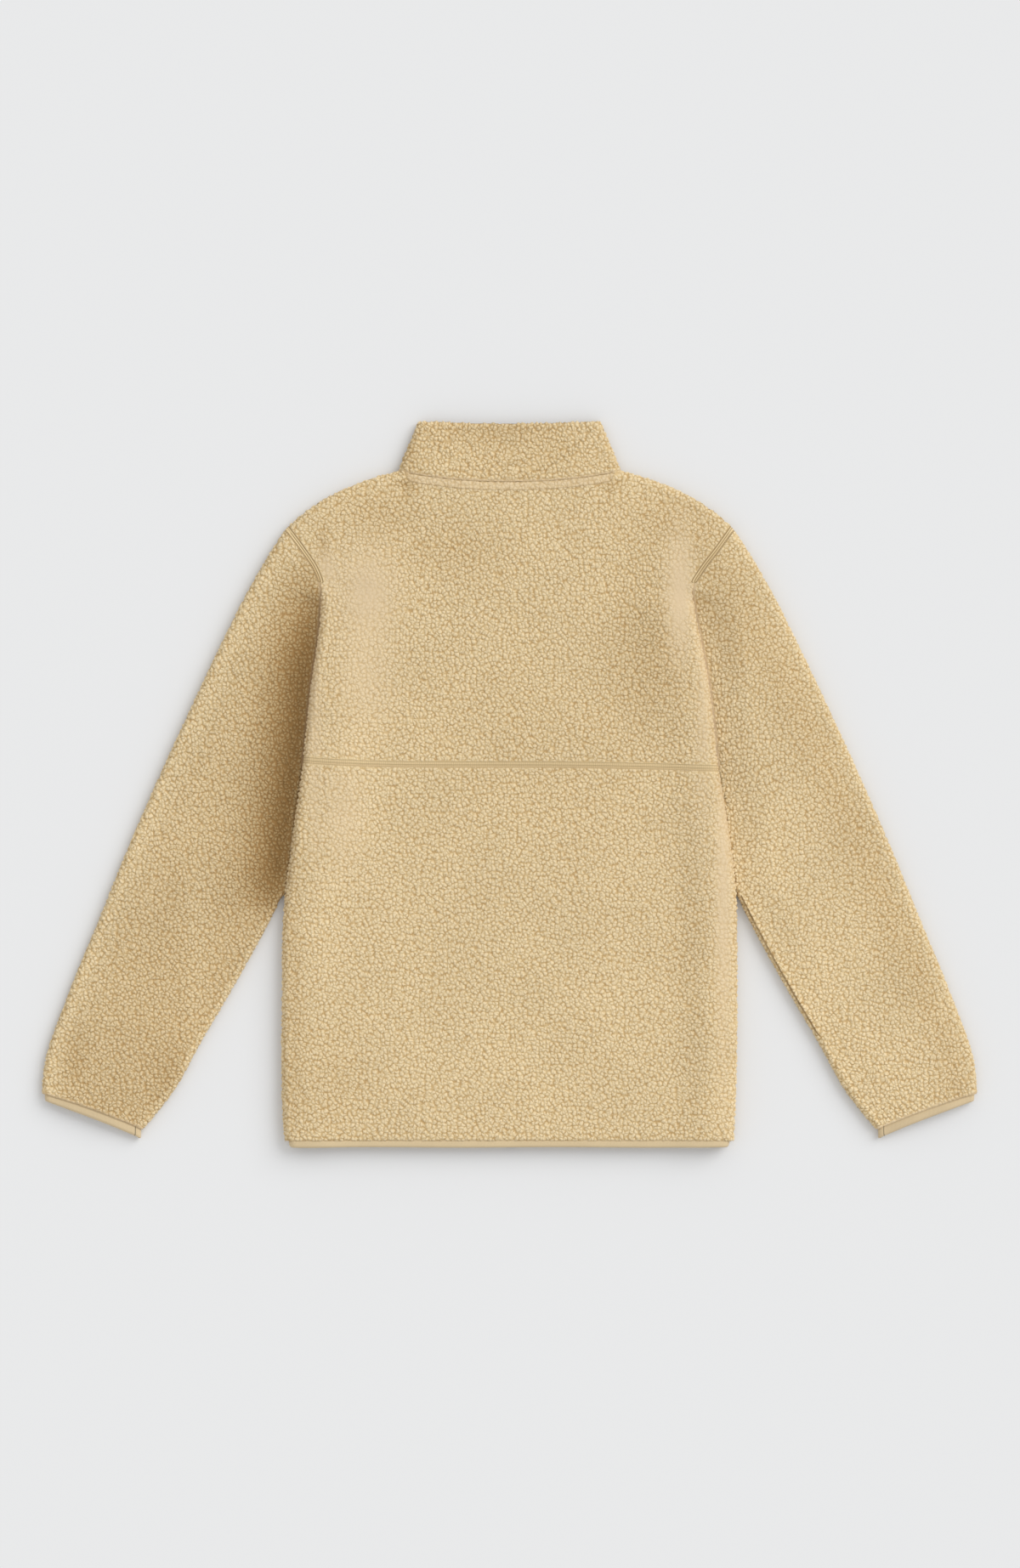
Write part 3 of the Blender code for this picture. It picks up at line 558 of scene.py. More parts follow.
def raisePile(piece):
    modifier = piece.modifiers.new("Pile", "NODES")
    modifier.node_group = pileGroup
    applyModifier(piece, modifier)
    mesh = piece.data
    spots = np.empty(len(mesh.vertices) * 3, np.float32)
    mesh.vertices.foreach_get("co", spots)
    spots = spots.reshape(-1, 3)
    spots[:, 2] = np.maximum(spots[:, 2], 0.0)
    mesh.vertices.foreach_set("co", spots.ravel())
    mesh.update()


fleeceLook = {
    "groove": (0.54, 0.352, 0.154),
    "middle": (0.742, 0.569, 0.316),
    "top": (0.866, 0.707, 0.457),
    # dark brown of the seam lines: painted shade in the seam grooves
    "seam": (0.27, 0.155, 0.055),
    "bump": 0.75,
    "ladder": 2.0,      # how far apart the stitches lie across the yoke seam, in mm
    "sheen": 0.08,
    # dark marks along the seams, painted shade in the grooves where the pile parts at the seams and along
    # their stitch rows: which seam, how far from it in mm, half width. Seam 0 is the yoke's, 1 the neck's
    # and 2 the armhole's
    "lines": [(0, 4.4, 0.5), (0, 1.4, 0.35), (0, -1.3, 0.65), (1, 0.1, 0.9), (1, 8.6, 0.5),
              (2, 2.6, 0.8), (2, 0.2, 0.5), (2, -2.5, 1.0)],
    "lineStrength": (0.52, 0.6, 0.9),
    "yokeBand": 1.6,    # middle of the yoke seam's band above the seam, in mm
}


def lineMask(tree, value, offset, half):
    # 1 on a line at the given distance from a seam, 0 away from it
    away = mathNode(tree, "ABSOLUTE", mathNode(tree, "SUBTRACT", value, offset))
    return remap(tree, away, half * 0.35, half, 1.0, 0.0)


def newMaterial(name):
    material = bpy.data.materials.new(name)
    material.use_nodes = True
    return material, material.node_tree, material.node_tree.nodes["Principled BSDF"]


def setShader(shader, **values):
    # sheenTint=... sets the socket Sheen Tint
    sockets = {key.replace(" ", "").lower(): key for key in shader.inputs.keys()}
    for key, value in values.items():
        shader.inputs[sockets[key.lower()]].default_value = value


def addBump(tree, shader, height, strength, deep):
    bump = addNode(tree, "ShaderNodeBump")
    bump.inputs["Strength"].default_value = strength
    bump.inputs["Distance"].default_value = deep * mm
    link(tree, height, bump.inputs["Height"])
    link(tree, bump.outputs[0], shader.inputs["Normal"])


def tintColour(tree, colour, amount, shader):
    tint = addNode(tree, "ShaderNodeVectorMath", operation="SCALE")
    tint.inputs[0].default_value = colour
    link(tree, amount, tint.inputs["Scale"])
    link(tree, tint.outputs[0], shader.inputs["Base Color"])


def fleeceMaterial():
    material, tree, shader = newMaterial("sherpaFleece")

    def attribute(name, output="Fac"):
        node = addNode(tree, "ShaderNodeAttribute", attribute_name=name)
        return node.outputs[output]

    place, pile = attribute("place", "Vector"), attribute("pile")
    tone, inside = attribute("tone"), attribute("inside")
    height = pileNodes(tree, place, pile)
    fibres = noiseNode(tree, place, 1.35, 3.0, 0.65)
    curl = noiseNode(tree, place, 0.62, 2.0, 0.6)
    lively = addNoise(tree, addNoise(tree, height, fibres, 0.42), curl, 0.22)
    # where the tone is lowered, by painted shade and darker nap, the cloth shows more of its deep colour
    shade = mathNode(tree, "MINIMUM", mathNode(tree, "SUBTRACT", tone, 1.0), 0.0)
    lively = addTo(tree, lively, shade, 0.9)
    ramp = addNode(tree, "ShaderNodeValToRGB")
    stops = ramp.color_ramp.elements
    stops[0].position, stops[0].color = 0.02, (*fleeceLook["groove"], 1.0)
    stops[1].position, stops[1].color = 0.98, (*fleeceLook["top"], 1.0)
    middle = stops.new(0.42)
    middle.color = (*fleeceLook["middle"], 1.0)
    link(tree, lively, ramp.inputs["Fac"])

    # seam bands: x is the distance from the yoke seam, y from the neck seam, z from the armhole
    split = tree.nodes.new("ShaderNodeSeparateXYZ")
    link(tree, attribute("seams", "Vector"), split.inputs[0])
    yoke, hole, bandMiddle = split.outputs[0], split.outputs[2], fleeceLook["yokeBand"]
    # the yoke's band shows its stitches as a fine ladder
    spot = tree.nodes.new("ShaderNodeSeparateXYZ")
    link(tree, place, spot.inputs[0])
    wave = multiply(tree, spot.outputs[0], 2 * math.pi / fleeceLook["ladder"])
    rung = remap(tree, mathNode(tree, "SINE", wave), -0.2, 0.9)
    rung = multiply(tree, rung, lineMask(tree, yoke, bandMiddle, 4.6))
    # the stitch ladder, and dark lines that paint shade into the grooves along the seams
    stitchesAndShadedSeamGrooves = multiply(tree, rung, 0.3)
    for axis, offset, half in fleeceLook["lines"]:
        mask = lineMask(tree, split.outputs[axis], offset, half)
        stitchesAndShadedSeamGrooves = mathNode(tree, "MAXIMUM", stitchesAndShadedSeamGrooves, multiply(tree, mask, fleeceLook["lineStrength"][axis]))

    wide = noiseNode(tree, vectorNode(tree, "SCALE", place, scale=0.011), 1.0, 3.0, 0.55)
    drift = remap(tree, wide, 0.3, 0.7, 0.97, 1.03)
    bright = multiply(tree, tone, drift)
    # brushed flat, the pile is a little duller and paler
    yokeBand, holeBand = lineMask(tree, yoke, bandMiddle, 7.0), lineMask(tree, hole, 0.0, 6.0)
    band = mathNode(tree, "MAXIMUM", yokeBand, holeBand)
    flat = mathNode(tree, "SUBTRACT", mathNode(tree, "SUBTRACT", 1.0, pile), band, clamp=True)
    bright = multiply(tree, bright, addTo(tree, 1.0, flat, -0.08))
    pale = addTo(tree, 1.0, flat, 0.12)
    bright = multiply(tree, bright, remap(tree, inside, 0.0, 1.0, 1.0, 0.8))
    tint = addNode(tree, "ShaderNodeVectorMath", operation="SCALE")
    # painted shade turns warmer in colour, and brushed flat pile paler
    warm = tree.nodes.new("ShaderNodeCombineXYZ")
    warm.inputs[0].default_value = 1.0
    link(tree, addTo(tree, 1.0, shade, 0.25), warm.inputs[1])
    link(tree, addTo(tree, pale, shade, 0.6), warm.inputs[2])
    link(tree, vectorNode(tree, "MULTIPLY", ramp.outputs["Color"], warm.outputs[0]), tint.inputs[0])
    link(tree, bright, tint.inputs["Scale"])
    # the seams' stitches and grooves turn dark brown: painted shade in the grooves
    stitchAndSeamShadeMix = addNode(tree, "ShaderNodeMix", data_type="RGBA")
    link(tree, multiply(tree, stitchesAndShadedSeamGrooves, 0.8), stitchAndSeamShadeMix.inputs["Factor"])
    link(tree, tint.outputs[0], stitchAndSeamShadeMix.inputs["A"])
    stitchAndSeamShadeMix.inputs["B"].default_value = (*fleeceLook["seam"], 1.0)
    link(tree, stitchAndSeamShadeMix.outputs["Result"], shader.inputs["Base Color"])

    relief = addTo(tree, addTo(tree, height, fibres, 0.35), stitchesAndShadedSeamGrooves, -0.8)
    addBump(tree, shader, relief, fleeceLook["bump"], 1.2)
    setShader(shader, roughness=0.95, specularIorLevel=0.12, sheenWeight=fleeceLook["sheen"],
              sheenRoughness=0.5, sheenTint=(0.95, 0.85, 0.68, 1.0))
    return material


def knitMaterial(name, colour, ribScale, join=None):
    material, tree, shader = newMaterial(name)
    node = addNode(tree, "ShaderNodeAttribute", attribute_name="place")
    split = tree.nodes.new("ShaderNodeSeparateXYZ")
    link(tree, node.outputs["Vector"], split.inputs[0])
    rib = mathNode(tree, "SINE", multiply(tree, split.outputs[0], ribScale))
    stitch = mathNode(tree, "SINE", multiply(tree, split.outputs[1], ribScale * 1.4))
    fuzz = noiseNode(tree, node.outputs["Vector"], 0.9, 3.0, 0.6)
    wide = noiseNode(tree, node.outputs["Vector"], 0.04, 2.0, 0.5)
    value = addTo(tree, addTo(tree, 0.96, rib, 0.055), stitch, 0.02)
    value = addNoise(tree, addNoise(tree, value, fuzz, 0.16), wide, 0.12)
    if join:
        # a dark line where the binding's ends meet
        mark = lineMask(tree, split.outputs[0], join, 0.75)
        value = multiply(tree, value, remap(tree, mark, 0, 1, 1.0, 0.4))
    tintColour(tree, colour, value, shader)
    addBump(tree, shader, mathNode(tree, "ADD", rib, fuzz), 0.35, 0.25)
    setShader(shader, roughness=0.85, specularIorLevel=0.2, sheenWeight=0.15)
    return material


fleece = fleeceMaterial()
binding = knitMaterial("knitBinding", (0.70, 0.55, 0.335), 5.2)
cuffKnit = knitMaterial("cuffKnit", (0.69, 0.54, 0.33), 5.2, join=97.5)


# where each piece starts on the pile's pattern, in mm, so that no tufts run on across a seam
patternStart = {
    "back_upper": (0.0, 0.0),
    "back_lower": (0.0, -13.0),
    "front_left": (0.0, 2000.0),
    "front_right": (0.0, 2000.0),
    "sleeve_left": (-700.0, 0.0),
    "sleeve_right": (700.0, 0.0),
    "collar": (9.0, 1100.0),
    "hem_binding": (0.0, 0.0),
    "cuff_binding_left": (0.0, 260.0),
    "cuff_binding_right": (0.0, 340.0),
}


def finishPiece(piece, material, slot, node, body="jacket"):
    piece.data.materials.clear()
    piece.data.materials.append(material)
    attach(piece, body)
    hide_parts(node)


def finishSheet(name, node, grid, wall, points, material, slot, **build):
    points["place"] = points["place"] + np.array([*patternStart.get(node, (0.0, 0.0)), 0.0])
    piece = sheetMesh(name, grid, wall, points, **build)
    if "lift" in points:
        raisePile(piece)
    finishPiece(piece, material, slot, node)


def patchShares(points, patches):
    for x, y, halfX, halfY, amount in patches:
        away = ((points[..., 0] - x) / halfX) ** 2 + ((points[..., 1] - y) / halfY) ** 2
        yield amount * np.exp(-away)


def tonePatches(points, patches):
    tone = np.ones(points.shape[:-1])
    for share in patchShares(points, patches):
        tone += share
    return tone


def pileShare(points, patches):
    pile = np.ones(points.shape[:-1])
    for share in patchShares(points, patches):
        pile *= 1 - share
    return pile


def rimLift(points, *lines):
    # pile that stands out more where the cloth turns over at an edge
    rim = np.min([distanceTo(points, line) for line in lines], axis=0)
    return 1.0 + pileLook["fringe"] * hump(rim, 5.0)


def farFrom(count):
    return np.full(count + (3,), 99.0)


backLook = {
    "step": 1.33,
    # nap brushed lighter or darker, with painted light and shade over the broad folds and painted shade in
    # the puckers by the collar: x, y, half widths, amount
    "napAndPaintedShading": [(-112, 318, 12, 5, -0.10), (112, 318, 12, 5, -0.07), (-227, -170, 9, 190, -0.07),
            (-106, 313, 7, 14, -0.10), (106, 311, 6, 12, -0.07), (-170, 115, 45, 95, 0.02),
            (-197, 256, 7, 18, -0.10), (180, 205, 15, 60, 0.09), (-150, -20, 26, 60, 0.05),
            (-190, -150, 40, 110, 0.03), (212, 110, 26, 150, 0.03), (228, -230, 14, 150, 0.02),
            (188, -200, 22, 170, -0.03), (-190, -300, 40, 80, -0.04), (150, 140, 45, 80, -0.08),
            (-140, 285, 40, 24, -0.07), (-60, 245, 50, 30, -0.05), (170, 280, 45, 30, -0.06),
            (205, 245, 20, 30, -0.06), (30, 40, 160, 90, -0.02), (40, -280, 160, 60, 0.02)],
    # pile brushed smooth, in the same way
    "smooth": [(-152, 115, 30, 60, 0.4), (-150, 203, 27, 44, 0.75), (-175, -30, 24, 60, 0.4),
               (180, 200, 15, 62, 0.9), (-193, 228, 12, 22, 0.6), (226, -100, 9, 170, 0.7),
               (205, 80, 8, 110, 0.5), (-206, 60, 7, 120, 0.45)],
}


def signedSeams(plan, upper):
    seams = farFrom(plan.shape[:-1])
    yoke = plan[..., 1] - yokeLine(plan[..., 0])
    seams[..., 0] = yoke
    if upper:
        x = np.linspace(-116.6, 116.6, 80)
        neck = np.stack([x, backNeckY(x)], 1)
        seams[..., 1] = distanceTo(plan, neck) + 20 * smoothStep((np.abs(plan[..., 0]) - 106) / 10)
        holes = np.minimum(distanceTo(plan, armhole(-1)), distanceTo(plan, armhole(1)))
        # the armhole seam shows only above the place where it goes under the fold
        under = smoothStep((cut["armholeFoldY"] + 4 - plan[..., 1]) / 12)
        seams[..., 2] = holes + 99 * under
    return seams


def bandPile(seams):
    yoke, neck, hole = seams[..., 0] - fleeceLook["yokeBand"], seams[..., 1], seams[..., 2]
    pile = smoothStep((np.abs(yoke) - 2.6) / 2.2)
    pile = np.minimum(pile, 0.58 + 0.42 * smoothStep((neck - 7.5) / 2.5))
    return np.minimum(pile, smoothStep((np.abs(hole) - 2.2) / 2.2))


def makeBack():
    end = shoulderLine[-1][0] - 2 * seamGap
    across = arcShares(2 * end, 1, 1, backLook["step"])
    x = -end + 2 * end * across
    out = np.abs(x)
    topY = np.where(out < cut["neckCorner"][0], backNeckY(x) - seamGap,
                    shoulderY(np.maximum(out, cut["neckCorner"][0])))
    top = np.stack([x, topY], -1)
    sideTop = topY[0]
    down = arcShares(sideTop - cut["yokeY"], 1, 0, backLook["step"] * 0.92)
    sides = []
    for side in (-1, 1):
        seamY = float(yokeLine(np.array(side * 219.0)))
        y = sideTop + (seamY + seamGap - sideTop) * down
        sides.append(np.stack([side * (bodySide(y, side) - seamGap), y], -1))
    lowX = sides[0][-1, 0] + (sides[1][-1, 0] - sides[0][-1, 0]) * across
    bottom = np.stack([lowX, yokeLine(lowX) + seamGap], -1)
    plan = coons(top, bottom, sides[0], sides[1], across, down)
    finishBack("back_upper", plan, True)

    across = arcShares(2 * 236.0, 1, 1, backLook["step"] * 1.08)
    down = arcShares(395.6, 0, 0, backLook["step"] * 1.08)
    sides = []
    for side in (-1, 1):
        start = float(yokeLine(np.array(side * 219.0))) - seamGap
        y = start + (cut["hemY"] + 2 * seamGap - start) * down
        sides.append(np.stack([side * bodySide(y, side), y], -1))
    seamX = sides[0][0, 0] + (sides[1][0, 0] - sides[0][0, 0]) * across
    seam = np.stack([seamX, yokeLine(seamX) - seamGap], -1)
    hemX = sides[0][-1, 0] + (sides[1][-1, 0] - sides[0][-1, 0]) * across
    hem = np.stack([hemX, 0 * hemX + cut["hemY"] + 2 * seamGap], -1)
    plan = coons(seam, hem, sides[0], sides[1], across, down)
    finishBack("back_lower", plan, False)


def backLevel(plan, seams):
    # the cloth's surface under its pile, pulled down a little along the seams
    dip = 0.9 * hump(seams[..., 1], 2.2) + 0.5 * hump(seams[..., 0] - fleeceLook["yokeBand"], 4.5)
    dip += 0.5 * hump(seams[..., 2], 4.0)
    dip += 0.8 * hump(plan[..., 1] - cut["hemY"], 1.6)
    return backHeight(plan) - thickness["pileRoom"] - dip


def finishBack(node, plan, upper):
    seams = signedSeams(plan, upper)
    pile = bandPile(seams) * pileShare(plan, backLook["smooth"])
    grid = raised(plan, backLevel(plan, seams))
    tone = tonePatches(plan, backLook["napAndPaintedShading"])
    lift = rimLift(plan, outline(-1), outline(1), bodyFold(-1), bodyFold(1))
    points = {"place": clothPlaces(grid), "pile": pile, "tone": tone, "seams": seams, "lift": lift}
    name = "backUpperFleece" if upper else "backLowerFleece"
    finishSheet(name, node, grid, thickness["fleece"], points, fleece, "fleece")


print("back")
makeBack()


def makeFront(side):
    end = shoulderLine[-1][0] - 2 * seamGap
    across = arcShares(end - cut["zipGap"], 1, 0, 2.3)
    out = end - (end - cut["zipGap"]) * across
    shoulder = shoulderY(np.maximum(out, cut["neckCorner"][0]))
    topY = np.where(out < cut["neckCorner"][0], frontNeckY(out) - seamGap, shoulder)
    top = np.stack([side * out, topY], -1)
    down = arcShares(topY[0] - cut["hemY"], 1, 0, 2.3)
    y = topY[0] + (cut["hemY"] + 2 * seamGap - topY[0]) * down
    edge = np.stack([side * (bodySide(y, side) - seamGap), y], -1)
    openingY = topY[-1] + (y[-1] - topY[-1]) * down
    opening = np.stack([side * cut["zipGap"] + 0 * down, openingY], -1)
    hemX = edge[-1, 0] + (side * cut["zipGap"] - edge[-1, 0]) * across
    hem = np.stack([hemX, 0 * hemX + y[-1]], -1)
    plan = coons(top, hem, edge, opening, across, down)
    level = np.minimum(frontHeight(plan) + thickness["underside"], foldLevel)
    grid = raised(plan, level)
    # the pile is short along the zip
    pile = smoothStep((distanceTo(plan, opening) - 4) / 6)
    points = {"place": clothPlaces(grid, flip=side < 0), "pile": 0.35 + 0.65 * pile,
              "tone": np.ones_like(pile), "seams": farFrom(pile.shape), "lift": 0.8 * np.ones_like(pile)}
    low, word = sideNames[side]
    finishSheet(f"front{word}Fleece", f"front_{low}", grid, thickness["frontFleece"], points, fleece,
                "fleece", flip=side < 0, stride=4)


print("fronts")
makeFront(-1)
makeFront(1)


sleeveLook = {
    "topColumns": 104,
    "underColumns": 44,
    "foldColumns": 11,
    "rows": 440,
    # painted shade: the body's shadow on the sleeve, painted into the sleeve's tone
    "shade": {-1: (0.50, 42.0, 2.3), 1: (0.05, 7.0, 2.0)},    # beside the body: amount, reach, power
    # nap, with painted light and shade, across the sleeve from its outer edge to its inner one, and in
    # patches, with painted shade in its creases
    "across": {
        -1: ((0.0, 0.15, 0.4, 0.7, 1.0), (0.03, -0.05, -0.08, -0.09, -0.09)),
        1: ((0.0, 0.12, 0.22, 0.5, 0.75, 1.0), (0.0, -0.07, -0.05, 0.02, 0.06, 0.08)),
    },
    "napAndPaintedShading": {
        -1: [(-460, -290, 14, 30, -0.08), (-360, -310, 18, 28, -0.06), (-330, -150, 14, 90, 0.04)],
        1: [(440, -290, 30, 50, 0.02), (236, 150, 14, 60, -0.03)],
    },
}


def sleeveRows(side):
    y, out = curveThrough(sleeveOuter, 0, 1, 60)
    outer = np.stack([side * out, y], 1)[::-1]
    y = np.linspace(cut["underarmY"], cut["crotchY"], 20)
    hug = np.stack([side * (bodySide(y, side) + 0.5), y], 1)
    y, out = curveThrough(sleeveInner, 0, 1, 30)
    inner = np.concatenate([hug, np.stack([side * out, y], 1)[::-1][1:]])
    start = armhole(side, seamGap)
    out, y = curveThrough(cuffEdge, 0, 1, 12)
    end = np.stack([side * out, y], 1)[::-1]
    along = np.linspace(0, 1, sleeveLook["rows"])
    share = np.linspace(0, 1, 161)

    def bend(line):
        points = resample(line, share)
        return points - (points[0] + (points[-1] - points[0]) * share[:, None])

    rows = []
    for s, a, b in zip(along, resample(outer, along), resample(inner, along)):
        straight = a + (b - a) * share[:, None]
        bent = bend(start) * max(0.0, 1 - s / 0.4) ** 2 + bend(end) * max(0.0, s * 4 - 3)
        rows.append(straight + bent)
    return np.array(rows)


def ringPlan(lines, outerHeight, innerHeight, columns, under, fold):
    # plan points round a flattened tube: over the top, round the inner fold, back under, outer fold
    lengths = np.linalg.norm(np.diff(lines, axis=1), axis=2).sum(1)
    outer, inner = outerHeight / 2 / lengths, innerHeight / 2 / lengths
    turn = np.linspace(0, math.pi, fold + 2)[1:-1]
    share = np.linspace(0, 1, columns)
    low = np.linspace(1, 0, under)
    rings = []
    for i, line in enumerate(lines):
        flat = outer[i] + (1 - inner[i] - outer[i]) * share
        back = outer[i] + (1 - inner[i] - outer[i]) * low
        shares = np.concatenate([flat, 1 - inner[i] * (1 - np.sin(turn)), back,
                                 outer[i] * (1 - np.sin(turn[::-1]))])
        rings.append(resample(line, shares))
    return np.array(rings), turn


def makeSleeve(side):
    lines = sleeveRows(side)
    ends = sleeveHeight(lines[:, [0, -1]], side)
    look = sleeveLook
    columns, under, fold = look["topColumns"], look["underColumns"], look["foldColumns"]
    plan, turn = ringPlan(lines, ends[:, 0], ends[:, 1], columns, under, fold)
    top = sleeveHeight(plan[:, :columns], side) - thickness["pileRoom"]
    bottom = thickness["underside"]
    innerZ = bottom + (top[:, -1:] - bottom) / 2 * (1 + np.cos(turn))
    outerZ = bottom + (top[:, :1] - bottom) / 2 * (1 + np.cos(turn[::-1]))
    z = np.concatenate([top, innerZ, np.full((len(plan), under), bottom), outerZ], axis=1)
    seams = farFrom(plan.shape[:-1])
    gap = distanceTo(plan, armhole(side))
    shown = smoothStep((cut["armholeFoldY"] + 4 - plan[..., 1]) / 12)
    seams[..., 2] = -gap - 99 * shown
    # the underarm seam comes to the inner edge below the crotch of the wearer's right sleeve
    if side > 0:
        rim = distanceTo(plan, lines[:, -1])
        seen = smoothStep((-104.0 - plan[..., 1]) / 16.0) * smoothStep((plan[..., 1] + 320.0) / 60.0)
        shown = (rim < 4.5) & (z > bottom + 1.0) & (seen > 0.0)
        seams[..., 2] = np.where(shown, rim - 5.0 - 30.0 * (1 - seen), seams[..., 2])
    pile = smoothStep((gap - 2.2) / 2.2)
    edge = np.stack(curveThrough(cuffEdge, 0, 1, 40), 1)
    edge[:, 0] *= side
    cuffGap = distanceTo(plan, edge)
    pile = np.minimum(pile, 0.3 + 0.7 * smoothStep((cuffGap - 0.5) / 2.0))
    z = z - 0.5 * hump(gap, 4.0) * (z > 2.0)
    grid = raised(plan, z)
    tone = tonePatches(plan, look["napAndPaintedShading"][side])
    shares, levels = look["across"][side]
    tone[:, :columns] += np.interp(np.linspace(0, 1, columns), shares, levels)
    edgeY = np.linspace(cut["armholeFoldY"] + 4.0, cut["crotchY"], 60)
    nearBody = distanceTo(plan, np.stack([side * bodySide(edgeY, side), edgeY], 1))
    amount, reach, power = look["shade"][side]
    fade = smoothStep((plan[..., 1] - cut["crotchY"] + 60.0) / 90.0)
    fade = fade * smoothStep((262.0 - plan[..., 1]) / 140.0)
    # painted shade for the body's shadow on the sleeve, with less of it right beside the body, where the
    # real shadow falls as well
    shade = np.exp(-((nearBody / reach) ** power)) * (1 - 0.6 * hump(nearBody, 7.0))
    tone -= amount * fade * shade
    tone[:, columns + fold:] = 1.0
    lift = rimLift(plan, outline(side), innerFold(side)[24:])
    points = {"place": clothPlaces(grid, True, side > 0), "pile": pile, "tone": tone, "seams": seams,
              "lift": lift}
    low, word = sideNames[side]
    finishSheet(f"sleeve{word}Fleece", f"sleeve_{low}", grid, thickness["fleece"] - 0.2, points, fleece,
                "fleece", closed=True, flip=side > 0)


print("sleeves")
makeSleeve(-1)
makeSleeve(1)


collarLook = {
    "columns": 84,
    "foldColumns": 13,
    # nap, with painted light and shade: x, y, half widths, amount
    "napAndPaintedShading": [(0, 360, 160, 60, -0.05), (0, 378, 60, 14, -0.05), (-107, 352, 9, 22, -0.09),
            (85, 372, 24, 22, 0.06), (-60, 345, 40, 18, 0.02)],
}


def bandRing(left, right, back, front, height, radius, fold, base=0.0):
    # along a band that runs round the neck or the hem: front, fold, back, fold, front
    turn = np.linspace(0, math.pi, fold + 2)[1:-1]

    def run(xs, yOf, z):
        return np.stack([xs, yOf(xs), z + 0 * xs], -1)

    fronts = [run(-left, front, base), run(right[::-1], front, base)]
    xs = np.concatenate([-left[:0:-1], right[1:]])
    plan = np.stack([xs, back(xs)], -1)
    backRun = raised(plan, height(plan))
    folds = []
    for side, flat, z in ((-1, left[-1], backRun[0, 2]), (1, right[-1], backRun[-1, 2])):
        x = side * (flat + radius * np.sin(turn))
        share = (1 - np.cos(turn)) / 2
        y = front(x) + (back(x) - front(x)) * share
        fold3 = np.stack([x, y, base + (z - base) * share], -1)
        folds.append(fold3 if side < 0 else fold3[::-1])
    return np.concatenate([fronts[0], folds[0], backRun, folds[1], fronts[1]])


def makeCollar():
    rows = []
    corner = cut["neckCorner"][0]
    levels = np.concatenate([np.linspace(0.0, 0.12, 8)[:-1], np.linspace(0.12, 1.0, 42)])
    for v in levels:
        half = float(collarHalf(v))
        scale = corner / half
        columns = np.linspace(cut["zipGap"], half - foldRadius, collarLook["columns"])

        def back(x, v=v, scale=scale):
            low, high = cut["collarTopY"], cut["collarCornerY"]
            top = low + (high - low) * neckShare(x * scale) ** 2
            return (backNeckY(x * scale) + 0.06) * (1 - v) + top * v

        def front(x, v=v, scale=scale):
            low, high = cut["frontCollarTopY"], cut["collarCornerY"]
            top = low + (high - low) * neckShare(x * scale) ** 2.2
            return (frontNeckY(x * scale) + 0.06) * (1 - v) + top * v

        def height(plan, v=v):
            rim = rimDistance(plan)
            level = (thickness["fold"] + swellAt(rim) * (1 - v)) * (1 - thickness["collarThinning"] * v)
            # the seam sinks in at the neck, and the pile turns over at the top edge
            sunk = 1.1 * hump(v * 55, 2.0)
            return level - thickness["pileRoom"] - sunk - 2.2 * max(0.0, v - 0.93) ** 2 * 200

        rows.append(bandRing(columns, columns, back, front, height, foldRadius,
                             collarLook["foldColumns"], base=0.7))
    grid = np.array(rows)[::-1]
    below = levels[::-1][:, None] * 58.0 + 0 * grid[..., 0]
    seams = farFrom(below.shape)
    seams[..., 1] = -below
    pile = 0.25 + 0.75 * smoothStep((below - 0.6) / 2.6)
    tone = tonePatches(grid[..., :2], collarLook["napAndPaintedShading"])
    lift = rimLift(grid[..., :2], outline(-1), outline(1), grid[0, :, :2])
    points = {"place": clothPlaces(grid), "pile": pile, "tone": tone, "seams": seams, "lift": lift}
    finishSheet("collarFleece", "collar", grid, thickness["fleece"], points, fleece, "fleece")


print("collar")
makeCollar()


def ringPlaces(grid):
    # arc length round a band and across it
    around = np.linalg.norm(np.diff(grid, axis=1), axis=-1)
    u = np.concatenate([np.zeros((len(grid), 1)), np.cumsum(around, axis=1)], axis=1)
    across = np.linalg.norm(np.diff(grid, axis=0), axis=-1)
    v = np.concatenate([np.zeros((1, grid.shape[1])), np.cumsum(across, axis=0)], axis=0)
    return np.stack([u, v, 0 * u], -1)


def finishBinding(name, grid, node, material, **build):
    points = {"place": ringPlaces(grid), "pile": np.zeros(grid.shape[:2])}
    finishSheet(name, node, grid, thickness["binding"], points, material, "binding", stride=3, **build)


bindingLook = {
    "rows": 15,
    "foldColumns": 9,
    "topColumns": 70,        # over the top of a cuff
    "underColumns": 60,
    "below": 0.2,            # how far it lies below the fleece, mm
    "edgeStart": 0.6,        # how far below the seam it starts, mm
}


def bindingProfile(share):
    # how far a binding's face stands back across its height: rounded at its lower edge
    return 0.35 + 1.5 * max(0.0, share - 0.72) ** 2 * 10 + 0.35 * math.exp(-((share - 0.16) / 0.07) ** 2)


def makeHem():
    rows = []
    start = bindingLook["edgeStart"]
    for share in np.linspace(0.0, 1.0, bindingLook["rows"]):
        y = cut["hemY"] + start + (cut["hemBottomY"] - cut["hemY"] - start) * share
        sunk = bindingProfile(share)
        radius = foldRadius - sunk

        def level(x, y=y):
            return y + 0.25 * np.sin(x / 31.0) + 0 * x

        def height(plan, sunk=sunk):
            atHem = np.stack([plan[..., 0], 0 * plan[..., 1] + cut["hemY"]], -1)
            return backHeight(atHem) - 2 * sunk - bindingLook["below"]

        sides = []
        for side in (-1, 1):
            flat = float(bodySide(cut["hemY"], side)) - sunk - 1.2 * share**2 - radius - 3.0
            sides.append(np.linspace(cut["zipGap"], flat, 92))
        rows.append(bandRing(sides[0], sides[1], level, level, height, radius,
                             bindingLook["foldColumns"], base=0.2 * sunk))
    finishBinding("hemBindingKnit", np.array(rows), "hem_binding", binding)


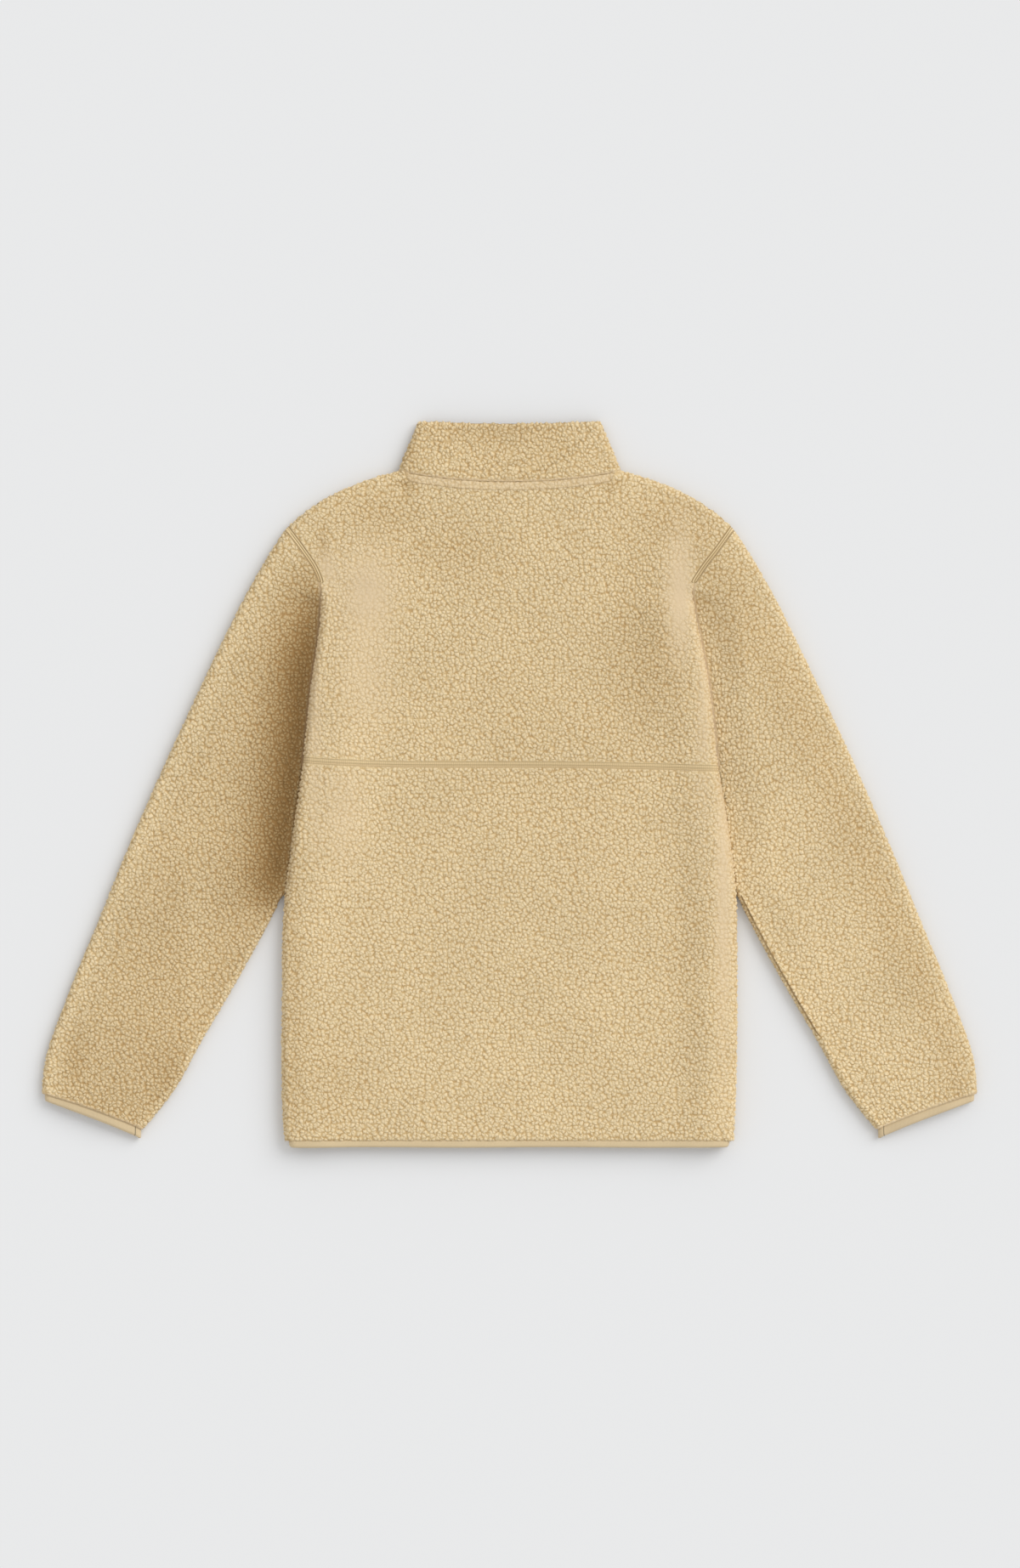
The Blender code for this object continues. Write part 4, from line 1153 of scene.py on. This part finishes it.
def makeCuff(side):
    lines = []
    for index in (1, 2):
        out, y = curveThrough(cuffEdge, 0, index, 40)
        lines.append(np.stack([side * out, y], 1)[::-1])
    rings = []
    columns, under = bindingLook["topColumns"], bindingLook["underColumns"]
    for share in np.linspace(0.0, 1.0, bindingLook["rows"]):
        sunk = bindingProfile(share)
        line = lines[0] + (lines[1] - lines[0]) * share * 1.13
        line[:, 1] += bindingLook["edgeStart"] * (1 - share)
        # the binding is a little shorter than the sleeve's edge
        middle = line.mean(0)
        line = middle + (line - middle) * (0.972 - 0.01 * share)
        ends = sleeveHeight(line[[0, -1]], side) - 2 * sunk
        plan, turn = ringPlan(line[None], ends[:1], ends[1:], columns, under, bindingLook["foldColumns"])
        plan = plan[0]
        top = sleeveHeight(plan[:columns], side) - 2 * sunk - bindingLook["below"]
        base = 0.2 * sunk
        innerZ = base + (top[-1] - base) / 2 * (1 + np.cos(turn))
        outerZ = base + (top[0] - base) / 2 * (1 + np.cos(turn[::-1]))
        z = np.concatenate([top, innerZ, np.full(under, base), outerZ])
        rings.append(raised(plan, z))
    low, word = sideNames[side]
    finishBinding(f"cuff{word}Knit", np.array(rings), f"cuff_binding_{low}", cuffKnit, closed=True,
                  flip=side > 0)


print("bindings")
makeHem()
makeCuff(-1)
makeCuff(1)


zipLook = {
    "pitch": 2.5,
    "tooth": (3.3, 1.55, 1.7),     # across, along and deep
    "toothMiddle": 1.12,           # how far a tooth's middle lies from the centre line
    "foot": -364.5,
    "teeth": 274,                  # on each side
    "level": 4.2,
}


def plainMaterial(name, colour, rough, metallic, grain, depth):
    material, tree, shader = newMaterial(name)
    spot = tree.nodes.new("ShaderNodeTexCoord")
    place = vectorNode(tree, "SCALE", spot.outputs["Object"], scale=1 / mm)
    noise = noiseNode(tree, place, grain, 3.0, 0.6)
    tintColour(tree, colour, remap(tree, noise, 0.3, 0.7, 0.86, 1.1), shader)
    link(tree, remap(tree, noise, 0.3, 0.7, rough - 0.06, rough + 0.08), shader.inputs["Roughness"])
    addBump(tree, shader, noise, 0.3, depth)
    setShader(shader, metallic=metallic)
    return material


thread = plainMaterial("seamThread", (0.72, 0.55, 0.32), 0.7, 0.0, 2.6, 0.05)
coilNylon = plainMaterial("coilNylon", (0.50, 0.38, 0.21), 0.45, 0.0, 0.8, 0.04)
satinMetal = plainMaterial("satinMetal", (0.55, 0.52, 0.47), 0.34, 1.0, 1.4, 0.03)
tapeWeave = knitMaterial("tapeWeave", (0.56, 0.43, 0.25), 7.0)


def block(low, high, bevel, segments=2):
    # a bevelled block between two corners in mm
    centre = [(a + b) / 2 * mm for a, b in zip(low, high)]
    bpy.ops.object.select_all(action="DESELECT")
    bpy.ops.mesh.primitive_cube_add(size=1.0, location=centre)
    made = bpy.context.active_object
    made.scale = [(b - a) * mm for a, b in zip(low, high)]
    bpy.ops.object.transform_apply(location=False, rotation=False, scale=True)
    edge = made.modifiers.new("Bevel", "BEVEL")
    edge.width = bevel * mm
    edge.segments = segments
    applyModifier(made, edge)
    return made


def joined(name, parts):
    bpy.ops.object.select_all(action="DESELECT")
    for part in parts:
        part.select_set(True)
    bpy.context.view_layer.objects.active = parts[0]
    if len(parts) > 1:
        bpy.ops.object.join()
    bpy.ops.object.transform_apply(location=True, rotation=True, scale=True)
    made = bpy.context.active_object
    made.name = name
    bpy.ops.object.shade_smooth_by_angle(angle=math.radians(40))
    made.select_set(False)
    return made


def makeTape(side):
    x = np.linspace(3.2, 14.9, 9)
    y = np.linspace(325.8, -373.8, 240)
    grid = np.stack(np.broadcast_arrays(side * x[None, :], y[:, None], 4.05), -1).copy()
    grid[..., 2] -= 0.12 * np.cos((x - 9.0) / 5.9 * math.pi) ** 2
    place = np.stack(np.broadcast_arrays(x[None, :], y[:, None], 0.0), -1).copy()
    points = {"place": place, "pile": np.zeros(grid.shape[:2])}
    low, word = sideNames[side]
    finishSheet(f"tape{word}", f"zip_tape_{low}", grid, thickness["tape"], points, tapeWeave, "tape",
                flip=side < 0)


def makeCoil():
    wide, long, deep = zipLook["tooth"]
    rows = []
    for side in (-1, 1):
        start = zipLook["foot"] + (0.0 if side < 0 else zipLook["pitch"] / 2)
        middle = side * zipLook["toothMiddle"]
        tooth = block((middle - wide / 2, start - long / 2, zipLook["level"] - deep / 2),
                      (middle + wide / 2, start + long / 2, zipLook["level"] + deep / 2), 0.38, 1)
        many = tooth.modifiers.new("Array", "ARRAY")
        many.count = zipLook["teeth"]
        many.use_relative_offset = False
        many.use_constant_offset = True
        many.constant_offset_displace = (0.0, zipLook["pitch"] * mm, 0.0)
        applyModifier(tooth, many)
        cord = block((side * 2.2 - 0.3, -365.4, 3.75), (side * 2.2 + 0.3, 320.9, 4.65), 0.2, 1)
        rows += [tooth, cord]
    finishPiece(joined("zipCoil", rows), coilNylon, "coil", "zip_chain")


def makeSlider():
    parts = [block((-4.0, 311.0, z), (4.0, 325.0, z + 0.7), 0.25) for z in (2.3, 5.4)]
    for plate in parts:
        # the plates narrow towards the closed teeth
        bpy.context.view_layer.objects.active = plate
        bpy.ops.object.mode_set(mode="EDIT")
        bpy.ops.mesh.select_all(action="DESELECT")
        bpy.ops.object.mode_set(mode="OBJECT")
        for vertex in plate.data.vertices:
            vertex.select = vertex.co.y < -0.003
        bpy.ops.object.mode_set(mode="EDIT")
        bpy.ops.transform.resize(value=(0.82, 1.0, 1.0), center_override=(0.0, 0.0, 0.0))
        bpy.ops.object.mode_set(mode="OBJECT")
    parts.append(block((-1.0, 321.3, 2.6), (1.0, 324.0, 5.8), 0.3))      # the wedge that parts the teeth
    # the bail that holds the tab: two posts and a bar
    for low, high, top in ((312.0, 313.0, 2.6), (316.2, 317.2, 2.6), (312.2, 317.0, 0.7)):
        parts.append(block((-1.0, low, 0.1), (1.0, high, top), 0.2))
    # the flanges that guide the tapes
    for side in (-1, 1):
        parts.append(block((side * 3.7 - 0.3, 311.5, 2.7), (side * 3.7 + 0.3, 319.0, 3.4), 0.15))
    finishPiece(joined("zipSlider", parts), satinMetal, "metal", "zip_slider")


def makePullTab():
    plate = block((-3.0, 291.05, 1.05), (3.0, 315.05, 1.95), 0.3, 3)
    hole = block((-1.5, 310.05, 0.5), (1.5, 314.15, 2.5), 0.2)
    cutter = plate.modifiers.new("Window", "BOOLEAN")
    cutter.object = hole
    cutter.operation = "DIFFERENCE"
    applyModifier(plate, cutter)
    bpy.data.objects.remove(hole, do_unlink=True)
    grip = [block((-1.9, y - 0.3, 1.0), (1.9, y + 0.3, 2.0), 0.12) for y in (294.0, 295.6, 297.2)]
    piece = joined("pullTab", [plate] + grip)
    finishPiece(piece, satinMetal, "metal", "zip_pull_tab", "pull_tab")


def makeStops():
    for side, (low, word) in sideNames.items():
        corner = (side * 1.85 - 0.95, 325.4, 3.3)
        stop = block(corner, (corner[0] + 1.9, 327.9, 5.1), 0.35)
        finishPiece(joined(f"stop{word}", [stop]), satinMetal, "metal", f"zip_top_stop_{low}")
    box = block((-2.7, -374.0, 3.0), (2.7, -365.8, 5.4), 0.4)
    ridge = block((-1.9, -372.6, 2.9), (1.9, -371.8, 3.2), 0.1)
    finishPiece(joined("zipBox", [box, ridge]), satinMetal, "metal", "zip_box")


print("zip")
makeTape(-1)
makeTape(1)
makeCoil()
makeSlider()
makePullTab()
makeStops()

stitchLook = {
    "pitch": 1.9,
    "length": 1.25,
    "thick": 0.34,
    "lift": 0.85,        # above the cloth under its pile
    "armhole": 2.5,      # how far the armhole's row lies out on the sleeve
}


def stitchRow(name, line):
    # short spindles of thread laid along a line in mm
    steps = np.linalg.norm(np.diff(line, axis=0), axis=1)
    along = np.concatenate([[0.0], np.cumsum(steps)])
    count = int(along[-1] / stitchLook["pitch"])
    middle = (np.arange(count) + 0.5) * stitchLook["pitch"]

    def spot(place):
        return np.stack([np.interp(place, along, line[:, i]) for i in range(3)], 1)

    way = spot(middle + 0.3) - spot(middle - 0.3)
    way /= np.linalg.norm(way, axis=1, keepdims=True)
    side = np.cross(way, (0.0, 0.0, 1.0))
    side /= np.linalg.norm(side, axis=1, keepdims=True)
    up = np.cross(side, way)
    turns = np.arange(6) * math.pi / 3
    vertices, faces = [], []
    half, thick = stitchLook["length"] / 2, stitchLook["thick"]
    for centre, t, a, b in zip(spot(middle), way, side, up):
        start = len(vertices)
        vertices.append(centre - t * half)
        for place in (-0.55, 0.55):
            for turn in turns:
                ring = a * math.cos(turn) + b * 0.8 * math.sin(turn)
                vertices.append(centre + t * half * place + thick * ring)
        vertices.append(centre + t * half)
        for i in range(6):
            k = (i + 1) % 6
            faces.append((start, start + 1 + k, start + 1 + i))
            faces.append((start + 1 + i, start + 1 + k, start + 7 + k, start + 7 + i))
            faces.append((start + 13, start + 7 + i, start + 7 + k))
    mesh = bpy.data.meshes.new(name)
    mesh.from_pydata((np.array(vertices) * mm).tolist(), [], faces)
    mesh.shade_smooth()
    piece = bpy.data.objects.new(name, mesh)
    bpy.context.scene.collection.objects.link(piece)
    mesh.materials.append(thread)
    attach(piece, "jacket")
    return piece


def beside(line, offset):
    # a line moved sideways in the plan
    way = np.gradient(line, axis=0)
    way /= np.linalg.norm(way, axis=1, keepdims=True)
    return line + offset * np.stack([-way[:, 1], way[:, 0]], 1)


def makeStitches():
    x = np.linspace(-213.0, 214.0, 300)
    yoke = np.stack([x, yokeLine(x) - 1.3], 1)
    x = np.linspace(-112.0, 112.0, 160)
    neck = beside(np.stack([x, backNeckY(x)], 1), -8.6)
    neck = neck[np.abs(neck[:, 0]) < 112.0]
    rows = {"back_upper": []}
    for name, plan in (("yokeStitches", yoke), ("neckStitches", neck)):
        level = backLevel(plan, signedSeams(plan, True)) + stitchLook["lift"]
        rows["back_upper"].append(stitchRow(name, raised(plan, level)))
    out = stitchLook["armhole"]
    for side, (low, word) in sideNames.items():
        line = armhole(side)
        plan = beside(line[line[:, 1] > cut["armholeFoldY"] + 3.0], out * side)
        level = sleeveHeight(plan, side) - thickness["pileRoom"] - 0.5 * hump(out, 4.0) + stitchLook["lift"]
        rows[f"sleeve_{low}"] = [stitchRow(f"armholeStitches{word}", raised(plan, level))]
    return rows


print("stitches")
stitches = makeStitches()


view = {
    "scale": 0.0009,      # metres on the jacket for one pixel of the photo
    "width": 1200,
    "height": 1845,
    "lens": 85.0,
    "sensor": 36.0,
    "level": 0.010,       # the height in focus, in metres
    "floor": 60.0,        # the floor's width, in metres
    "paper": (0.805, 0.81, 0.815, 1.0),
}


light = {
    "key": (0.58, 0.47, 0.55),    # the way to the lamp
    "keyAngle": 42.0,
    "keyPower": 1.46,
    "fill": 0.735,
}


def makeView():
    data = bpy.data.cameras.new("photoCamera")
    data.lens = view["lens"]
    data.sensor_width = view["sensor"]
    tall = view["height"] * view["scale"]
    camera = bpy.data.objects.new("photoCamera", data)
    centre = (600.0 - 599.5) * view["scale"]
    camera.location = (centre, 0.0, view["level"] + view["lens"] / view["sensor"] * tall)
    bpy.context.scene.collection.objects.link(camera)
    bpy.context.scene.camera = camera

    bpy.ops.mesh.primitive_plane_add(size=view["floor"], location=(0.0, 0.0, -0.0003))
    floor = bpy.context.active_object
    floor.name = "floor"
    paper, tree, shader = newMaterial("paperFloor")
    setShader(shader, baseColor=view["paper"], roughness=0.95, specularIorLevel=0.0)
    floor.data.materials.append(paper)

    lamp = bpy.data.lights.new("keyLight", "SUN")
    lamp.angle = math.radians(light["keyAngle"])
    lamp.energy = light["keyPower"]
    key = bpy.data.objects.new("keyLight", lamp)
    x, y, z = light["key"]
    key.rotation_euler = (math.atan2(math.hypot(x, y), z), 0.0, math.atan2(y, x) + math.pi / 2)
    bpy.context.scene.collection.objects.link(key)
    world = bpy.data.worlds.new("studio")
    world.use_nodes = True
    backdrop = world.node_tree.nodes["Background"]
    backdrop.inputs["Color"].default_value = (1.0, 1.0, 1.0, 1.0)
    backdrop.inputs["Strength"].default_value = light["fill"]
    bpy.context.scene.world = world
    bpy.context.scene.view_settings.view_transform = "Standard"


print("view")
makeView()
